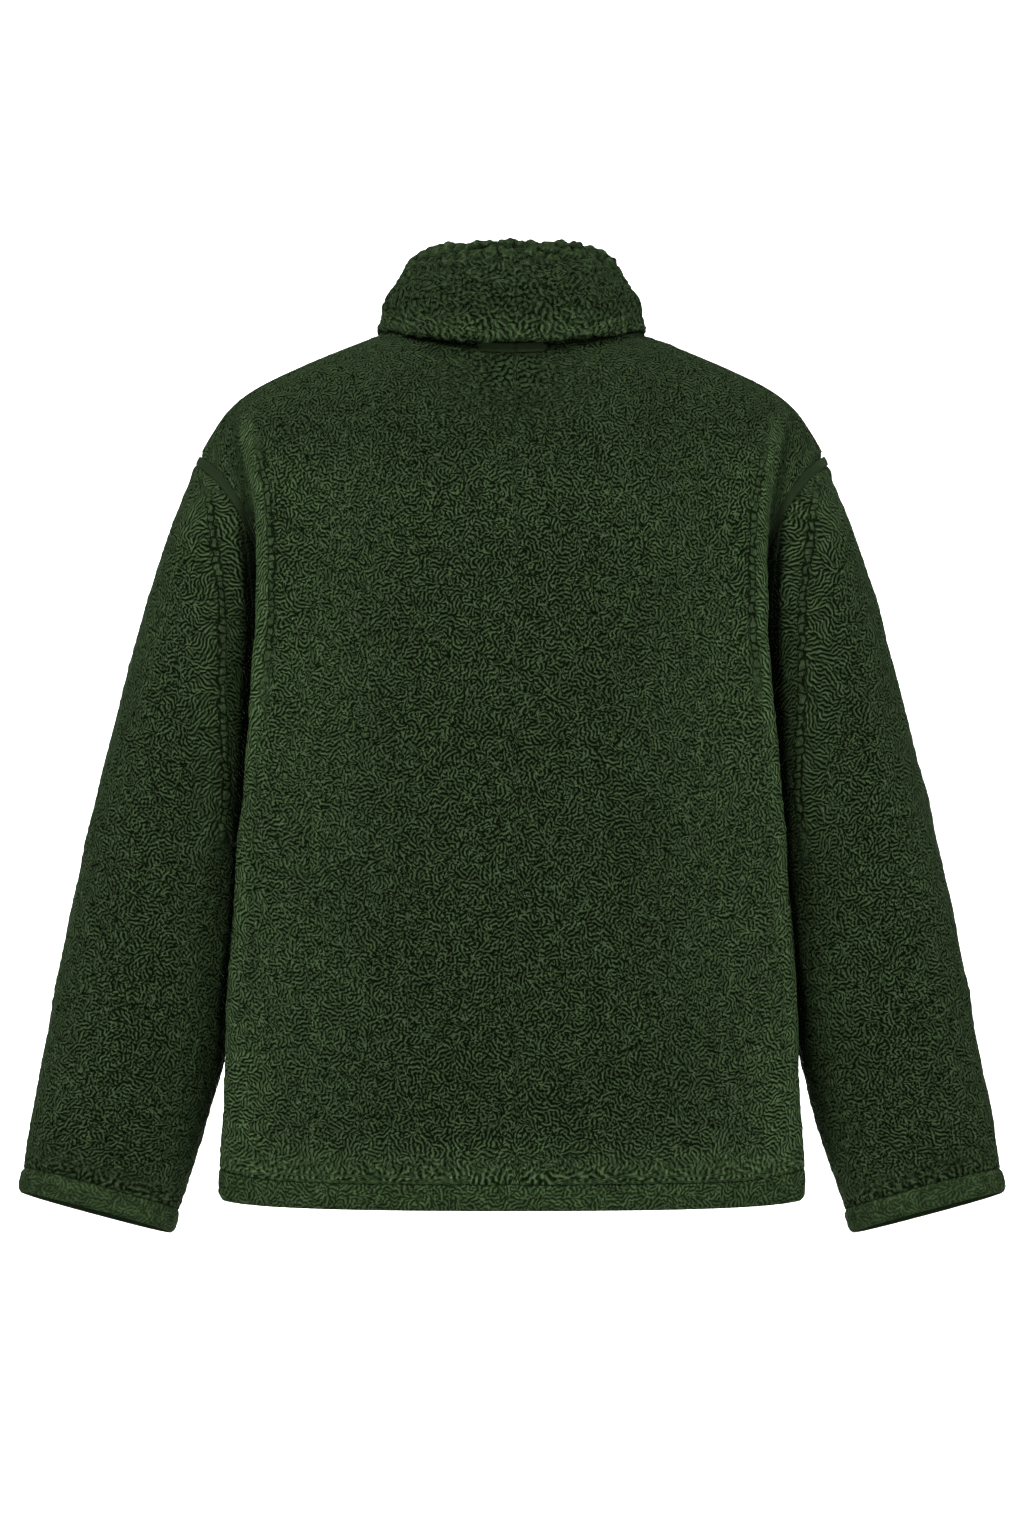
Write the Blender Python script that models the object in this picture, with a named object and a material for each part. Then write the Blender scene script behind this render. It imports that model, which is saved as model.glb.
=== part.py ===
# Pile fleece jacket, filled out as when worn and hollow, with a turned-down collar,
# set-in sleeves, bound hem and cuffs and a centre-front zip.
# Metres, +Z up, the back of the jacket faces +Y and the wearer's left is +X.
# The origin is the middle of the neck opening, level with the side neck points.

import math

import bmesh
import bpy
import numpy as np
from mathutils import Matrix, Vector

CLOTH = 0.0042          # pile fabric, ground and pile together
TAPE = 0.0010           # smooth seam tape
SEAM_GAP = 0.0003       # clearance between two pieces that are sewn together
LIFT = 0.0009           # height of a tape over the panels that it covers

UNDERARM_Z = -0.235     # height of the underarm points
HEM_BAND = 0.0190       # height of the bound hem
CUFF_BAND = 0.0180      # height of the bound cuffs
BAND_PROUD = 0.0012     # how far the bands stand out from the panels
FRONT_EDGE = 0.0062     # half of the space between the front edges, where the zip shows
SHOULDER_TAPE = 0.0085  # width of the shoulder tapes
ARMHOLE_TAPE = 0.0085   # width of the armhole tapes
NECK_TAPE = 0.0085      # fall of the neck tape below the neck seam
SHOULDER_TAPE_END = 0.0065  # how far the shoulder tapes end before the neck and armhole seams
NECK_HALF_WIDTH = 0.098
NECK_BACK = (0.060, -0.020)     # depth and height of the neck seam at the centre back
NECK_FRONT = (-0.085, -0.062)   # the same at the centre front
NECK_COLUMN = 0.42      # share of each half panel that lies under the neck seam
TOP_SOFTNESS = 0.16     # how far to each side the corner at the neck is rounded below the seam

NECK_STEPS = 6          # panel columns under the neck seam
SHOULDER_STEPS = 6      # panel columns under the shoulder seam
LOW_STEPS = 7           # panel rows from the hem to the underarm
HIGH_STEPS = 10         # panel rows from the underarm to the shoulder
SLEEVE_STEPS = 11       # sleeve rows from the armhole to the cuff
ARMHOLE_TAPE_STEPS = 6  # armhole rows that each half of the tape runs down, into the folds

GREEN = (0.022, 0.037, 0.015)
TAPE_GREEN = (0.020, 0.034, 0.016)
ZIP_GREEN = (0.012, 0.020, 0.010)
METAL = (0.16, 0.15, 0.13)


def rows(names, *values):
    """A short table: column names, then one row for each section."""
    grid = np.array(values, dtype=float)
    return {name: grid[:, i] for i, name in enumerate(names.split())}


# Level sections of the body, from the hem seam up to the underarm. The back quarter
# swells into a soft fold that is wider than the side seam.
BODY = rows(
    "z fold_x side_x back_y front_y",
    (-0.649, 0.2202, 0.2186, 0.118, 0.119),
    (-0.580, 0.2172, 0.2125, 0.120, 0.121),
    (-0.500, 0.2150, 0.2015, 0.122, 0.123),
    (-0.420, 0.2100, 0.1900, 0.124, 0.126),
    (-0.340, 0.2030, 0.1808, 0.126, 0.128),
    (-0.280, 0.1980, 0.1755, 0.127, 0.129),
    (UNDERARM_Z, 0.1948, 0.1740, 0.127, 0.129),
)

# Armhole seam from the underarm point up to the shoulder point.
ARMHOLE_BACK = rows(
    "x y z",
    (0.1740, -0.004, UNDERARM_Z),
    (0.1780, 0.018, -0.2180),
    (0.1840, 0.036, -0.1950),
    (0.1900, 0.046, -0.1744),
    (0.1960, 0.050, -0.1600),
    (0.2077, 0.049, -0.1356),
    (0.2240, 0.036, -0.1139),
    (0.2350, 0.020, -0.1035),
    (0.2426, 0.000, -0.0977),
)
ARMHOLE_FRONT = rows(
    "x y z",
    (0.1740, -0.004, UNDERARM_Z),
    (0.1760, -0.034, -0.2140),
    (0.1800, -0.056, -0.1860),
    (0.1880, -0.064, -0.1590),
    (0.2020, -0.059, -0.1330),
    (0.2210, -0.042, -0.1130),
    (0.2350, -0.021, -0.1030),
    (0.2426, 0.000, -0.0977),
)

# Shoulder seam from the side neck point to the shoulder point.
SHOULDER = rows(
    "x z",
    (NECK_HALF_WIDTH, 0.0000),
    (0.1330, -0.0118),
    (0.1693, -0.0271),
    (0.1996, -0.0426),
    (0.2182, -0.0581),
    (0.2337, -0.0814),
    (0.2426, -0.0977),
)

# The fold of the back beside each armhole: its outer edge, the height of its soft
# ridge and the depth of the trough beside it.
BACK_FOLD = rows(
    "z edge_x ridge trough",
    (-0.360, 0.2040, 0.000, 0.000),
    (-0.300, 0.1985, 0.002, 0.000),
    (-0.235, 0.1952, 0.004, 0.003),
    (-0.190, 0.1952, 0.006, 0.008),
    (-0.150, 0.1975, 0.007, 0.014),
    (-0.102, 0.2000, 0.007, 0.017),
    (-0.075, 0.2055, 0.003, 0.008),
    (-0.050, 0.2085, 0.000, 0.000),
)

# Sleeve sections from below the shoulder point to the cuff seam: the outer and the
# inner point of each, its half depth, how far its middle lies forward, how much of its
# depth its inner back corner gives up beside the body, and how steeply its front hangs.
SLEEVE = rows(
    "outer_x outer_z inner_x inner_z half_depth middle_y tuck hang",
    (0.2620, -0.1434, 0.1820, -0.2600, 0.0700, -0.006, 0.80, 0.00),
    (0.2778, -0.1900, 0.1860, -0.2880, 0.0730, -0.011, 0.80, 0.00),
    (0.2918, -0.2364, 0.1890, -0.3200, 0.0740, -0.016, 0.70, 0.00),
    (0.3081, -0.2984, 0.1935, -0.3650, 0.0730, -0.020, 0.66, 0.00),
    (0.3240, -0.3604, 0.1990, -0.4150, 0.0710, -0.024, 0.58, 0.00),
    (0.3383, -0.4224, 0.2060, -0.4650, 0.0680, -0.027, 0.46, 0.00),
    (0.3513, -0.4844, 0.2150, -0.5150, 0.0635, -0.029, 0.34, 0.02),
    (0.3630, -0.5464, 0.2275, -0.5750, 0.0585, -0.030, 0.22, 0.06),
    (0.3752, -0.6084, 0.2462, -0.6340, 0.0500, -0.031, 0.10, 0.13),
    (0.3812, -0.6464, 0.2600, -0.6740, 0.0400, -0.031, 0.00, 0.19),
)

# Collar sections from the centre back to the centre front, by the angle round the
# neck: height of the fold line over the neck seam, lean of the stand to the inside,
# and reach and height of the free edge from the neck seam.
COLLAR = rows(
    "turn fold_up lean edge_out edge_up",
    (0, 0.0885, 0.0150, 0.0190, 0.0105),
    (30, 0.0840, 0.0170, 0.0175, 0.0100),
    (60, 0.0700, 0.0225, 0.0120, 0.0075),
    (90, 0.0520, 0.0250, 0.0095, 0.0050),
    (135, 0.0450, 0.0230, 0.0200, 0.0050),
    (180, 0.0390, 0.0170, 0.0235, -0.0030),
)
COLLAR_FOOT = 0.0013    # height of the stand's foot over the neck seam
COLLAR_STEP = 7.5       # degrees round the neck from one section to the next
COLLAR_STEPS = 24       # sections on each side of the centre back, before the front end
COLLAR_FRONT_TURN = 177.0   # angle round the neck where the collar ends
COLLAR_POINT_SPREAD = 8.0   # how many degrees the free edge ends before the fold line
COLLAR_ROLL = 0.0170    # width of the round fold at the top

ZIP_TAPE = 0.0008       # thickness of the zip's woven tapes
ZIP_TAPE_HOLD = 0.0110  # how far each zip tape reaches under its front
ZIP_BEHIND = 0.0006     # clearance between a front and the zip tape behind it
CHAIN_WIDTH = 0.0056
CHAIN_THICK = 0.0026
SLIDER_LENGTH = 0.0150
SLIDER_WIDTH = 0.0096
SLIDER_PLATE = 0.0016
SLIDER_POST = 0.0030    # post that joins the slider's plates, between the two rows of teeth
SLIDER_DOWN = 0.0120    # middle of the slider below the neck seam, along the zip
PULL_WIDTH = 0.0070
PULL_LENGTH = 0.0300
PULL_THICK = 0.0014
PULL_AXIS_UP = 0.0015   # hinge line of the pull tab over the slider's top plate
BOX_LENGTH = 0.0095     # retainer box at the lower end of the zip


def smooth(table, by, name, at):
    """Column `name` of a table at values of column `by`, on a smooth curve."""
    order = np.argsort(table[by])
    x = table[by][order]
    y = table[name][order]
    step = np.diff(x)
    slope = np.diff(y) / step
    inner = np.where(
        slope[:-1] * slope[1:] > 0,
        2 * slope[:-1] * slope[1:] / (slope[:-1] + slope[1:] + 1e-12),
        0.0,
    )
    tangent = np.concatenate(([slope[0]], inner, [slope[-1]]))
    at = np.clip(np.asarray(at, dtype=float), x[0], x[-1])
    i = np.clip(np.searchsorted(x, at) - 1, 0, len(x) - 2)
    t = (at - x[i]) / step[i]
    return (
        y[i] * (1 + 2 * t) * (1 - t) ** 2
        + tangent[i] * step[i] * t * (1 - t) ** 2
        + y[i + 1] * t**2 * (3 - 2 * t)
        - tangent[i + 1] * step[i] * t**2 * (1 - t)
    )


def along(points, shares):
    """Points of a polyline at shares of its length."""
    reach = np.concatenate(([0.0], np.cumsum(np.linalg.norm(np.diff(points, axis=0), axis=1))))
    reach /= reach[-1]
    return np.stack([np.interp(shares, reach, points[:, k]) for k in range(3)], axis=1)


def spline(keys, shares):
    """Points of a smooth curve through key points, at shares of its length."""
    keys = np.asarray(keys, dtype=float)
    count = len(keys)
    ends = np.vstack([2 * keys[0] - keys[1], keys, 2 * keys[-1] - keys[-2]])
    t = np.linspace(0, count - 1, 40 * (count - 1) + 1)
    i = np.minimum(t.astype(int), count - 2)
    f = (t - i)[:, None]
    a, b, c, d = ends[i], ends[i + 1], ends[i + 2], ends[i + 3]
    fine = 0.5 * (2 * b + (c - a) * f + (2 * a - 5 * b + 4 * c - d) * f**2 + (3 * b - a - 3 * c + d) * f**3)
    return along(fine, shares)


def ease(value):
    value = np.clip(value, 0.0, 1.0)
    return value * value * (3 - 2 * value)


def body_section(z, turn, is_back):
    """Body outline at height z. turn runs from 0 at the centre to 1 at the side seam."""
    angle = np.radians(90 * turn)
    side = smooth(BODY, "z", "side_x", z)
    fold = smooth(BODY, "z", "fold_x", z)
    depth = smooth(BODY, "z", "back_y" if is_back else "front_y", z)
    power = 2 / 2.5
    x = side * np.sin(angle) ** power
    y = depth * np.cos(angle) ** power
    if is_back:
        swell = fold - side * math.sin(math.radians(66)) ** power
        x = x + swell * np.exp(-(((90 * turn - 66) / 14) ** 2))
        return x, y - 0.004 * turn**4
    x = FRONT_EDGE + x * (1 - FRONT_EDGE / side)
    return x, -y - 0.004 * turn**4


def neck_seam(turn, is_back):
    """Neck seam. turn runs from 0 at the centre to 1 at the side neck point."""
    angle = np.radians(90 * np.asarray(turn, dtype=float))
    depth, height = NECK_BACK if is_back else NECK_FRONT
    x = NECK_HALF_WIDTH * np.sin(angle)
    if not is_back:
        x = FRONT_EDGE + x * (1 - FRONT_EDGE / NECK_HALF_WIDTH)
    return np.stack([x, depth * np.cos(angle), height * np.cos(angle) ** 1.7], axis=-1)


def top_edge(columns, is_back):
    """Neck seam, then shoulder seam, at the shares of the half panel in `columns`."""
    seam_x = np.linspace(NECK_HALF_WIDTH, SHOULDER["x"][-1], 200)
    seam = np.stack([seam_x, 0 * seam_x, smooth(SHOULDER, "x", "z", seam_x)], axis=1)
    shoulder = along(seam, np.clip((columns - NECK_COLUMN) / (1 - NECK_COLUMN), 0, 1))
    neck = neck_seam(np.clip(columns / NECK_COLUMN, 0, 1), is_back)
    return np.where((columns < NECK_COLUMN)[:, None], neck, shoulder)


def soft_top(columns, is_back):
    """The top edge with its corner at the neck rounded off, which the rows below follow."""
    total = 0
    start = 0.0 if is_back else FRONT_EDGE
    shifts = np.linspace(-TOP_SOFTNESS, TOP_SOFTNESS, 9)
    for shift in shifts:
        at = columns + shift
        point = top_edge(np.clip(np.abs(at), 0, 1), is_back)
        point[:, 0] = np.where(at < 0, 2 * start - point[:, 0], point[:, 0])
        over = at > 1
        past = 2 * top_edge(np.ones(1), is_back) - top_edge(np.clip(2 - at, 0, 1), is_back)
        total = total + np.where(over[:, None], past, point)
    return total / len(shifts)


def half_panel(columns, low_rows, high_rows, is_back):
    """Points of half a back or of one front: rows from the hem up, columns outward."""
    heights = np.linspace(BODY["z"][0], UNDERARM_Z, low_rows + 1)[:-1]
    low = []
    for z in heights:
        x, y = body_section(z, columns, is_back)
        low.append(np.stack([x, y, np.full_like(x, z)], axis=1))

    base_x, base_y = body_section(UNDERARM_Z, columns, is_back)
    top = top_edge(columns, is_back)
    armhole = ARMHOLE_BACK if is_back else ARMHOLE_FRONT
    rise = np.linspace(0, 1, 160)
    edge = spline(np.stack([armhole["x"], armhole["y"], armhole["z"]], axis=1), rise)

    soft = soft_top(columns, is_back)

    def rolled(i):
        over = 1 + ease(columns[i] / NECK_COLUMN)
        lift = np.sin(rise * math.pi / 2) ** (2 / 2.6)
        drop = np.cos(rise * math.pi / 2) ** (2 / over)
        goal = soft[i] + (top[i] - soft[i]) * lift[:, None] ** 6
        x = base_x[i] + (goal[:, 0] - base_x[i]) * lift**1.5
        y = goal[:, 1] + (base_y[i] - goal[:, 1]) * drop
        z = UNDERARM_Z + (goal[:, 2] - UNDERARM_Z) * lift
        return along(np.stack([x, y, z], axis=1), rise)

    last = rolled(len(columns) - 1)
    share = np.linspace(0, 1, high_rows + 1)
    high = [along(rolled(i) + columns[i] ** 5 * (edge - last), share) for i in range(len(columns))]
    grid = np.concatenate([np.array(low), np.stack(high, axis=1)], axis=0)
    if is_back:
        beyond = grid[..., 0] - smooth(BACK_FOLD, "z", "edge_x", grid[..., 2])
        ridge = smooth(BACK_FOLD, "z", "ridge", grid[..., 2]) * np.exp(-(((beyond + 0.012) / 0.012) ** 2))
        trough = smooth(BACK_FOLD, "z", "trough", grid[..., 2]) * np.exp(-(((beyond - 0.011) / 0.010) ** 2))
        free = 1 - ease((columns - 0.84) / 0.16)
        below_seam = np.concatenate([np.ones(low_rows), 1 - ease((share - 0.72) / 0.28)])
        grid[..., 1] += (ridge - trough) * free[None, :] * below_seam[:, None]
    return grid


def sleeve_grid(back, front, steps, high_rows):
    """Sleeve points: rows from the armhole to the cuff, columns round from the top by the back."""
    start = len(back) - 1 - high_rows
    loop = np.concatenate([back[start:, -1][::-1], front[start + 1:, -1]], axis=0)[:-1]
    angle = np.radians(np.arange(2 * high_rows) * 180 / high_rows)
    power = 2 / 2.3
    round_out = np.sign(np.cos(angle)) * np.abs(np.cos(angle)) ** power
    round_back = np.sign(np.sin(angle)) * np.abs(np.sin(angle)) ** power
    keys = [loop]
    for i in range(len(SLEEVE["outer_x"])):
        outer = np.array([SLEEVE["outer_x"][i], SLEEVE["outer_z"][i]])
        inner = np.array([SLEEVE["inner_x"][i], SLEEVE["inner_z"][i]])
        flat = (outer + inner) / 2 + round_out[:, None] * (outer - inner) / 2
        inward = (1 - np.cos(angle)) / 2
        tuck = SLEEVE["tuck"][i] * inward**1.5 * (round_back > 0)
        y = SLEEVE["middle_y"][i] + SLEEVE["half_depth"][i] * round_back * (1 - tuck)
        z = flat[:, 1] + SLEEVE["hang"][i] * (y - SLEEVE["middle_y"][i])
        keys.append(np.stack([flat[:, 0], y, z], axis=1))
    keys = np.array(keys)
    shares = np.linspace(0, 1, steps + 1)
    return np.stack([spline(keys[:, j], shares) for j in range(len(loop))], axis=1)


def shared_normals(grids, wraps):
    """Outward normals of the panels, the same on both sides of each seam."""
    total = {}
    for grid, wrap in zip(grids, wraps):
        across = np.concatenate([grid, grid[:, :1]], axis=1) if wrap else grid
        quads = np.stack([across[:-1, :-1], across[:-1, 1:], across[1:, 1:], across[1:, :-1]], axis=2)
        normal = np.cross(quads[:, :, 2] - quads[:, :, 0], quads[:, :, 3] - quads[:, :, 1])
        for i in range(normal.shape[0]):
            for j in range(normal.shape[1]):
                for corner in quads[i, j]:
                    key = tuple(np.round(corner, 5))
                    total[key] = total.get(key, 0) + normal[i, j]
    result = []
    for grid in grids:
        normal = np.array([[total[tuple(np.round(p, 5))] for p in row] for row in grid])
        result.append(normal / np.linalg.norm(normal, axis=2, keepdims=True))
    return result


def material(name, colour, roughness, metallic=0.0):
    made = bpy.data.materials.new(name)
    made.use_nodes = True
    shader = made.node_tree.nodes["Principled BSDF"]
    shader.inputs["Base Color"].default_value = (*colour, 1.0)
    shader.inputs["Roughness"].default_value = roughness
    shader.inputs["Metallic"].default_value = metallic
    return made


def add_object(name, points, faces, finish):
    """One closed piece from points and faces, with its faces turned outward."""
    mesh = bpy.data.meshes.new(name)
    mesh.from_pydata([tuple(p) for p in points], [], faces)
    shape = bmesh.new()
    shape.from_mesh(mesh)
    bmesh.ops.recalc_face_normals(shape, faces=shape.faces)
    bmesh.ops.triangulate(shape, faces=shape.faces, quad_method="BEAUTY")
    shape.to_mesh(mesh)
    shape.free()
    mesh.shade_smooth()
    mesh.set_sharp_from_angle(angle=math.radians(50))
    mesh.materials.append(finish)
    made = bpy.data.objects.new(name, mesh)
    bpy.context.scene.collection.objects.link(made)
    return made


def shell_faces(count_rows, count_columns, wrap, points):
    """Faces of two grids of points, one after the other, closed at their edges."""
    size = count_rows * count_columns
    order = np.abs(points[:, 0]) * 0.61 + points[:, 1] * 0.37 + points[:, 2]
    last = count_columns if wrap else count_columns - 1

    def at(layer, i, j):
        return layer * size + i * count_columns + j % count_columns

    def cut(a, b, c, d):
        # two triangles from the corner that both sewn pieces find first
        corners = (a, b, c, d)
        k = min(range(4), key=lambda n: order[corners[n]])
        a, b, c, d = corners[k:] + corners[:k]
        return [(a, b, c), (a, c, d)]

    faces = []
    for i in range(count_rows - 1):
        for j in range(last):
            faces += cut(at(0, i, j), at(0, i, j + 1), at(0, i + 1, j + 1), at(0, i + 1, j))
            faces += cut(at(1, i, j), at(1, i + 1, j), at(1, i + 1, j + 1), at(1, i, j + 1))
    for j in range(last):
        for i in (0, count_rows - 1):
            faces += cut(at(0, i, j), at(1, i, j), at(1, i, j + 1), at(0, i, j + 1))
    if not wrap:
        for i in range(count_rows - 1):
            for j in (0, count_columns - 1):
                faces += cut(at(0, i, j), at(1, i, j), at(1, i + 1, j), at(0, i + 1, j))
    return faces


def add_shell(name, outer, inner, finish, wrap=False):
    points = np.concatenate([outer.reshape(-1, 3), inner.reshape(-1, 3)])
    faces = shell_faces(outer.shape[0], outer.shape[1], wrap, points)
    return add_object(name, points, faces, finish)


def pull_in(grid, step, wrap):
    """The grid with its edge points moved a step inward, along the panel."""
    moved = grid.copy()

    def toward(edge, inside):
        away = inside - edge
        return edge + away / np.linalg.norm(away, axis=-1, keepdims=True) * step

    moved[0] = toward(grid[0], grid[1])
    moved[-1] = toward(grid[-1], grid[-2])
    if not wrap:
        moved[:, 0] += toward(grid[:, 0], grid[:, 1]) - grid[:, 0]
        moved[:, -1] += toward(grid[:, -1], grid[:, -2]) - grid[:, -1]
    return moved


def add_panel(name, grid, normals, finish, wrap=False):
    """A cloth panel: its outer face is the grid and its wall lies inside that."""
    outer = pull_in(grid, SEAM_GAP / 2, wrap)
    inner = pull_in(grid - CLOTH * normals, SEAM_GAP / 2, wrap)
    return add_shell(name, outer, inner, finish, wrap)


def mirrored(grid):
    return grid * np.array([-1.0, 1.0, 1.0])


def strip_over_seam(seam, sides, seam_normals, side_normals, half_width):
    """Tape over a seam: a row on one panel, a row on the seam and a row on the other panel."""
    low = [seam + LIFT * seam_normals]
    high = [seam + (LIFT + TAPE) * seam_normals]
    for inside, inside_normals, place in zip(sides, side_normals, (0, 2)):
        away = inside - seam
        run = np.linalg.norm(away, axis=1, keepdims=True)
        out = seam_normals + inside_normals
        out /= np.linalg.norm(out, axis=1, keepdims=True)
        base = seam + away / run * half_width
        low.insert(place, base + LIFT * out)
        high.insert(place, base + (LIFT + TAPE) * out)
    return np.array(high), np.array(low)


def band_grid(edge, normals, down, height, levels):
    """A band hanging from an edge loop: rows down, with a softly rounded lower rim."""
    outer = []
    inner = []
    for level in levels:
        bulge = BAND_PROUD * math.sin(math.pi * min(1.0, 0.15 + 0.85 * level))
        tuck = 0.0016 * level**6
        base = edge + down * (SEAM_GAP + height * level)
        outer.append(base + normals * (bulge - tuck))
        inner.append(base - normals * (CLOTH - tuck))
    return np.array(outer), np.array(inner)


def collar_profile(turn, leaf_turn):
    """Closed section of the folded collar, from the inner foot round over the fold."""
    def seam_point(angle):
        is_back = angle <= 90
        share = angle / 90 if is_back else (180 - angle) / 90
        return neck_seam(share, is_back)

    def outward(angle):
        before = seam_point(max(angle - 1, 0))
        after = seam_point(min(angle + 1, 180))
        run = after - before
        side = np.array([-run[1], run[0], 0.0])
        if angle <= 0:
            side = np.array([0.0, 1.0, 0.0])
        return side / np.linalg.norm(side)

    def value(name, angle):
        return float(smooth(COLLAR, "turn", name, angle))

    foot = seam_point(turn)
    out = outward(turn)
    up = np.array([0.0, 0.0, 1.0])
    rise = value("fold_up", turn)
    lean = value("lean", turn)

    def stand(out_by, up_by):
        return foot + out * out_by + up * up_by

    leaf_foot = seam_point(leaf_turn)
    leaf_out = outward(leaf_turn)
    edge_out = value("edge_out", leaf_turn)
    edge_up = value("edge_up", leaf_turn)

    def leaf(share, depth):
        """Outer face of the leaf from the fold, 0, to its free edge, 1."""
        top = stand(-lean + 0.5 * COLLAR_ROLL + 0.004, rise - 0.006)
        end = leaf_foot + leaf_out * (edge_out - depth) + up * edge_up
        belly = 0.0045 * math.sin(math.pi * share) + 0.002 * math.sin(math.pi * share) ** 8
        line = top + (end - top) * share
        return line + leaf_out * (belly - (depth if share < 1 else 0))

    inner_side = [stand(-CLOTH, COLLAR_FOOT), stand(-0.35 * lean - CLOTH, 0.35 * rise)]
    inner_side += [stand(-0.75 * lean - CLOTH, 0.75 * rise), stand(-lean - CLOTH, rise - 0.008)]
    crown = [stand(-lean, rise - 0.0015), stand(-lean + 0.3 * COLLAR_ROLL, rise)]
    crown += [stand(-lean + 0.6 * COLLAR_ROLL, rise - 0.002)]
    outer_leaf = [leaf(share, 0.0) for share in (0.0, 0.25, 0.5, 0.75, 0.92, 1.0)]
    under = [leaf(share, CLOTH + 0.0004) for share in (1.0, 0.8, 0.5, 0.25)]
    crotch = [stand(-lean + 0.0030, rise - 0.012)]
    outer_stand = [stand(-0.6 * lean, 0.6 * rise), stand(-0.3 * lean, 0.3 * rise), stand(0.0, COLLAR_FOOT)]
    return np.array(inner_side + crown + outer_leaf + under + crotch + outer_stand)


def point_at(fine, reach, distance):
    return np.array([np.interp(distance, reach, fine[:, k]) for k in range(3)])


def reach_of(points, fine, reach):
    """Distance of each point along a fine curve that passes through them."""
    nearest = [int(np.argmin(np.linalg.norm(fine - p, axis=1))) for p in points]
    return reach[nearest]


def outward_along(line):
    """Normals of a line in the middle plane, pointing to the front."""
    run = np.gradient(line, axis=0)
    out = np.stack([0 * run[:, 0], -run[:, 2], run[:, 1]], axis=1)
    return out / np.linalg.norm(out, axis=1, keepdims=True)


def add_tube_of_sections(name, sections, finish):
    """A closed piece through a row of closed sections, capped at both ends."""
    count, around = sections.shape[:2]
    faces = []
    for i in range(count - 1):
        for j in range(around):
            k = (j + 1) % around
            faces.append((i * around + j, i * around + k, (i + 1) * around + k, (i + 1) * around + j))
    faces.append(tuple(range(around)))
    faces.append(tuple((count - 1) * around + j for j in range(around)))
    return add_object(name, sections.reshape(-1, 3), faces, finish)


def build_panels(finish):
    """Back, fronts and sleeves. Returns the grids and normals of the wearer's left side."""
    neck = np.linspace(0, NECK_COLUMN, NECK_STEPS + 1)
    shoulder = NECK_COLUMN + (1 - NECK_COLUMN) * np.linspace(0, 1, SHOULDER_STEPS + 1) ** 0.85
    columns = np.concatenate([neck, shoulder[1:]])
    back = half_panel(columns, LOW_STEPS, HIGH_STEPS, True)
    front = half_panel(columns, LOW_STEPS, HIGH_STEPS, False)
    back[:LOW_STEPS, -1] = front[:LOW_STEPS, -1]
    sleeve = sleeve_grid(back, front, SLEEVE_STEPS, HIGH_STEPS)

    whole_back = np.concatenate([mirrored(back)[:, :0:-1], back], axis=1)
    right_front = mirrored(front)[:, ::-1]
    right_sleeve = mirrored(sleeve)
    grids = [whole_back[:, ::-1], front, right_front, sleeve[:, ::-1], right_sleeve]
    wraps = [False, False, False, True, True]
    normals = shared_normals(grids, wraps)
    names = ["back", "front_left", "front_right", "sleeve_left", "sleeve_right"]
    for name, grid, normal, wrap in zip(names, grids, normals, wraps):
        add_panel(name, grid, normal, finish, wrap)
    half = len(columns)
    return {
        "back": (grids[0][:, :half][:, ::-1], normals[0][:, :half][:, ::-1]),
        "front": (grids[1], normals[1]),
        "sleeve": (grids[3][:, ::-1], normals[3][:, ::-1]),
    }


def build_bands(panels, finish):
    """Bound hem, which ends beside the zip, and the two bound cuffs."""
    back, back_normals = panels["back"]
    front, front_normals = panels["front"]
    levels = (0.0, 0.35, 0.75, 1.0)
    left_edge = np.concatenate([front[0], back[0][-2::-1]], axis=0)
    left_normals = np.concatenate([front_normals[0], back_normals[0][-2::-1]], axis=0)
    edge = np.concatenate([left_edge, mirrored(left_edge)[-2::-1]], axis=0)
    normals = np.concatenate([left_normals, mirrored(left_normals)[-2::-1]], axis=0)
    normals = normals * np.array([1.0, 1.0, 0.0])
    normals /= np.linalg.norm(normals, axis=1, keepdims=True)
    outer, inner = band_grid(edge, normals, np.array([0.0, 0.0, -1.0]), HEM_BAND, levels)
    add_shell("hem_band", outer, inner, finish)

    sleeve, sleeve_normals = panels["sleeve"]
    ring = sleeve[-1]
    down = sleeve[-1] - sleeve[-2]
    down = down.mean(axis=0) / np.linalg.norm(down.mean(axis=0))
    normals = sleeve_normals[-1] - (sleeve_normals[-1] @ down)[:, None] * down
    normals /= np.linalg.norm(normals, axis=1, keepdims=True)
    outer, inner = band_grid(ring, normals, down, CUFF_BAND, levels)
    add_shell("cuff_band_left", outer, inner, finish, wrap=True)
    add_shell("cuff_band_right", mirrored(outer), mirrored(inner), finish, wrap=True)


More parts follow.
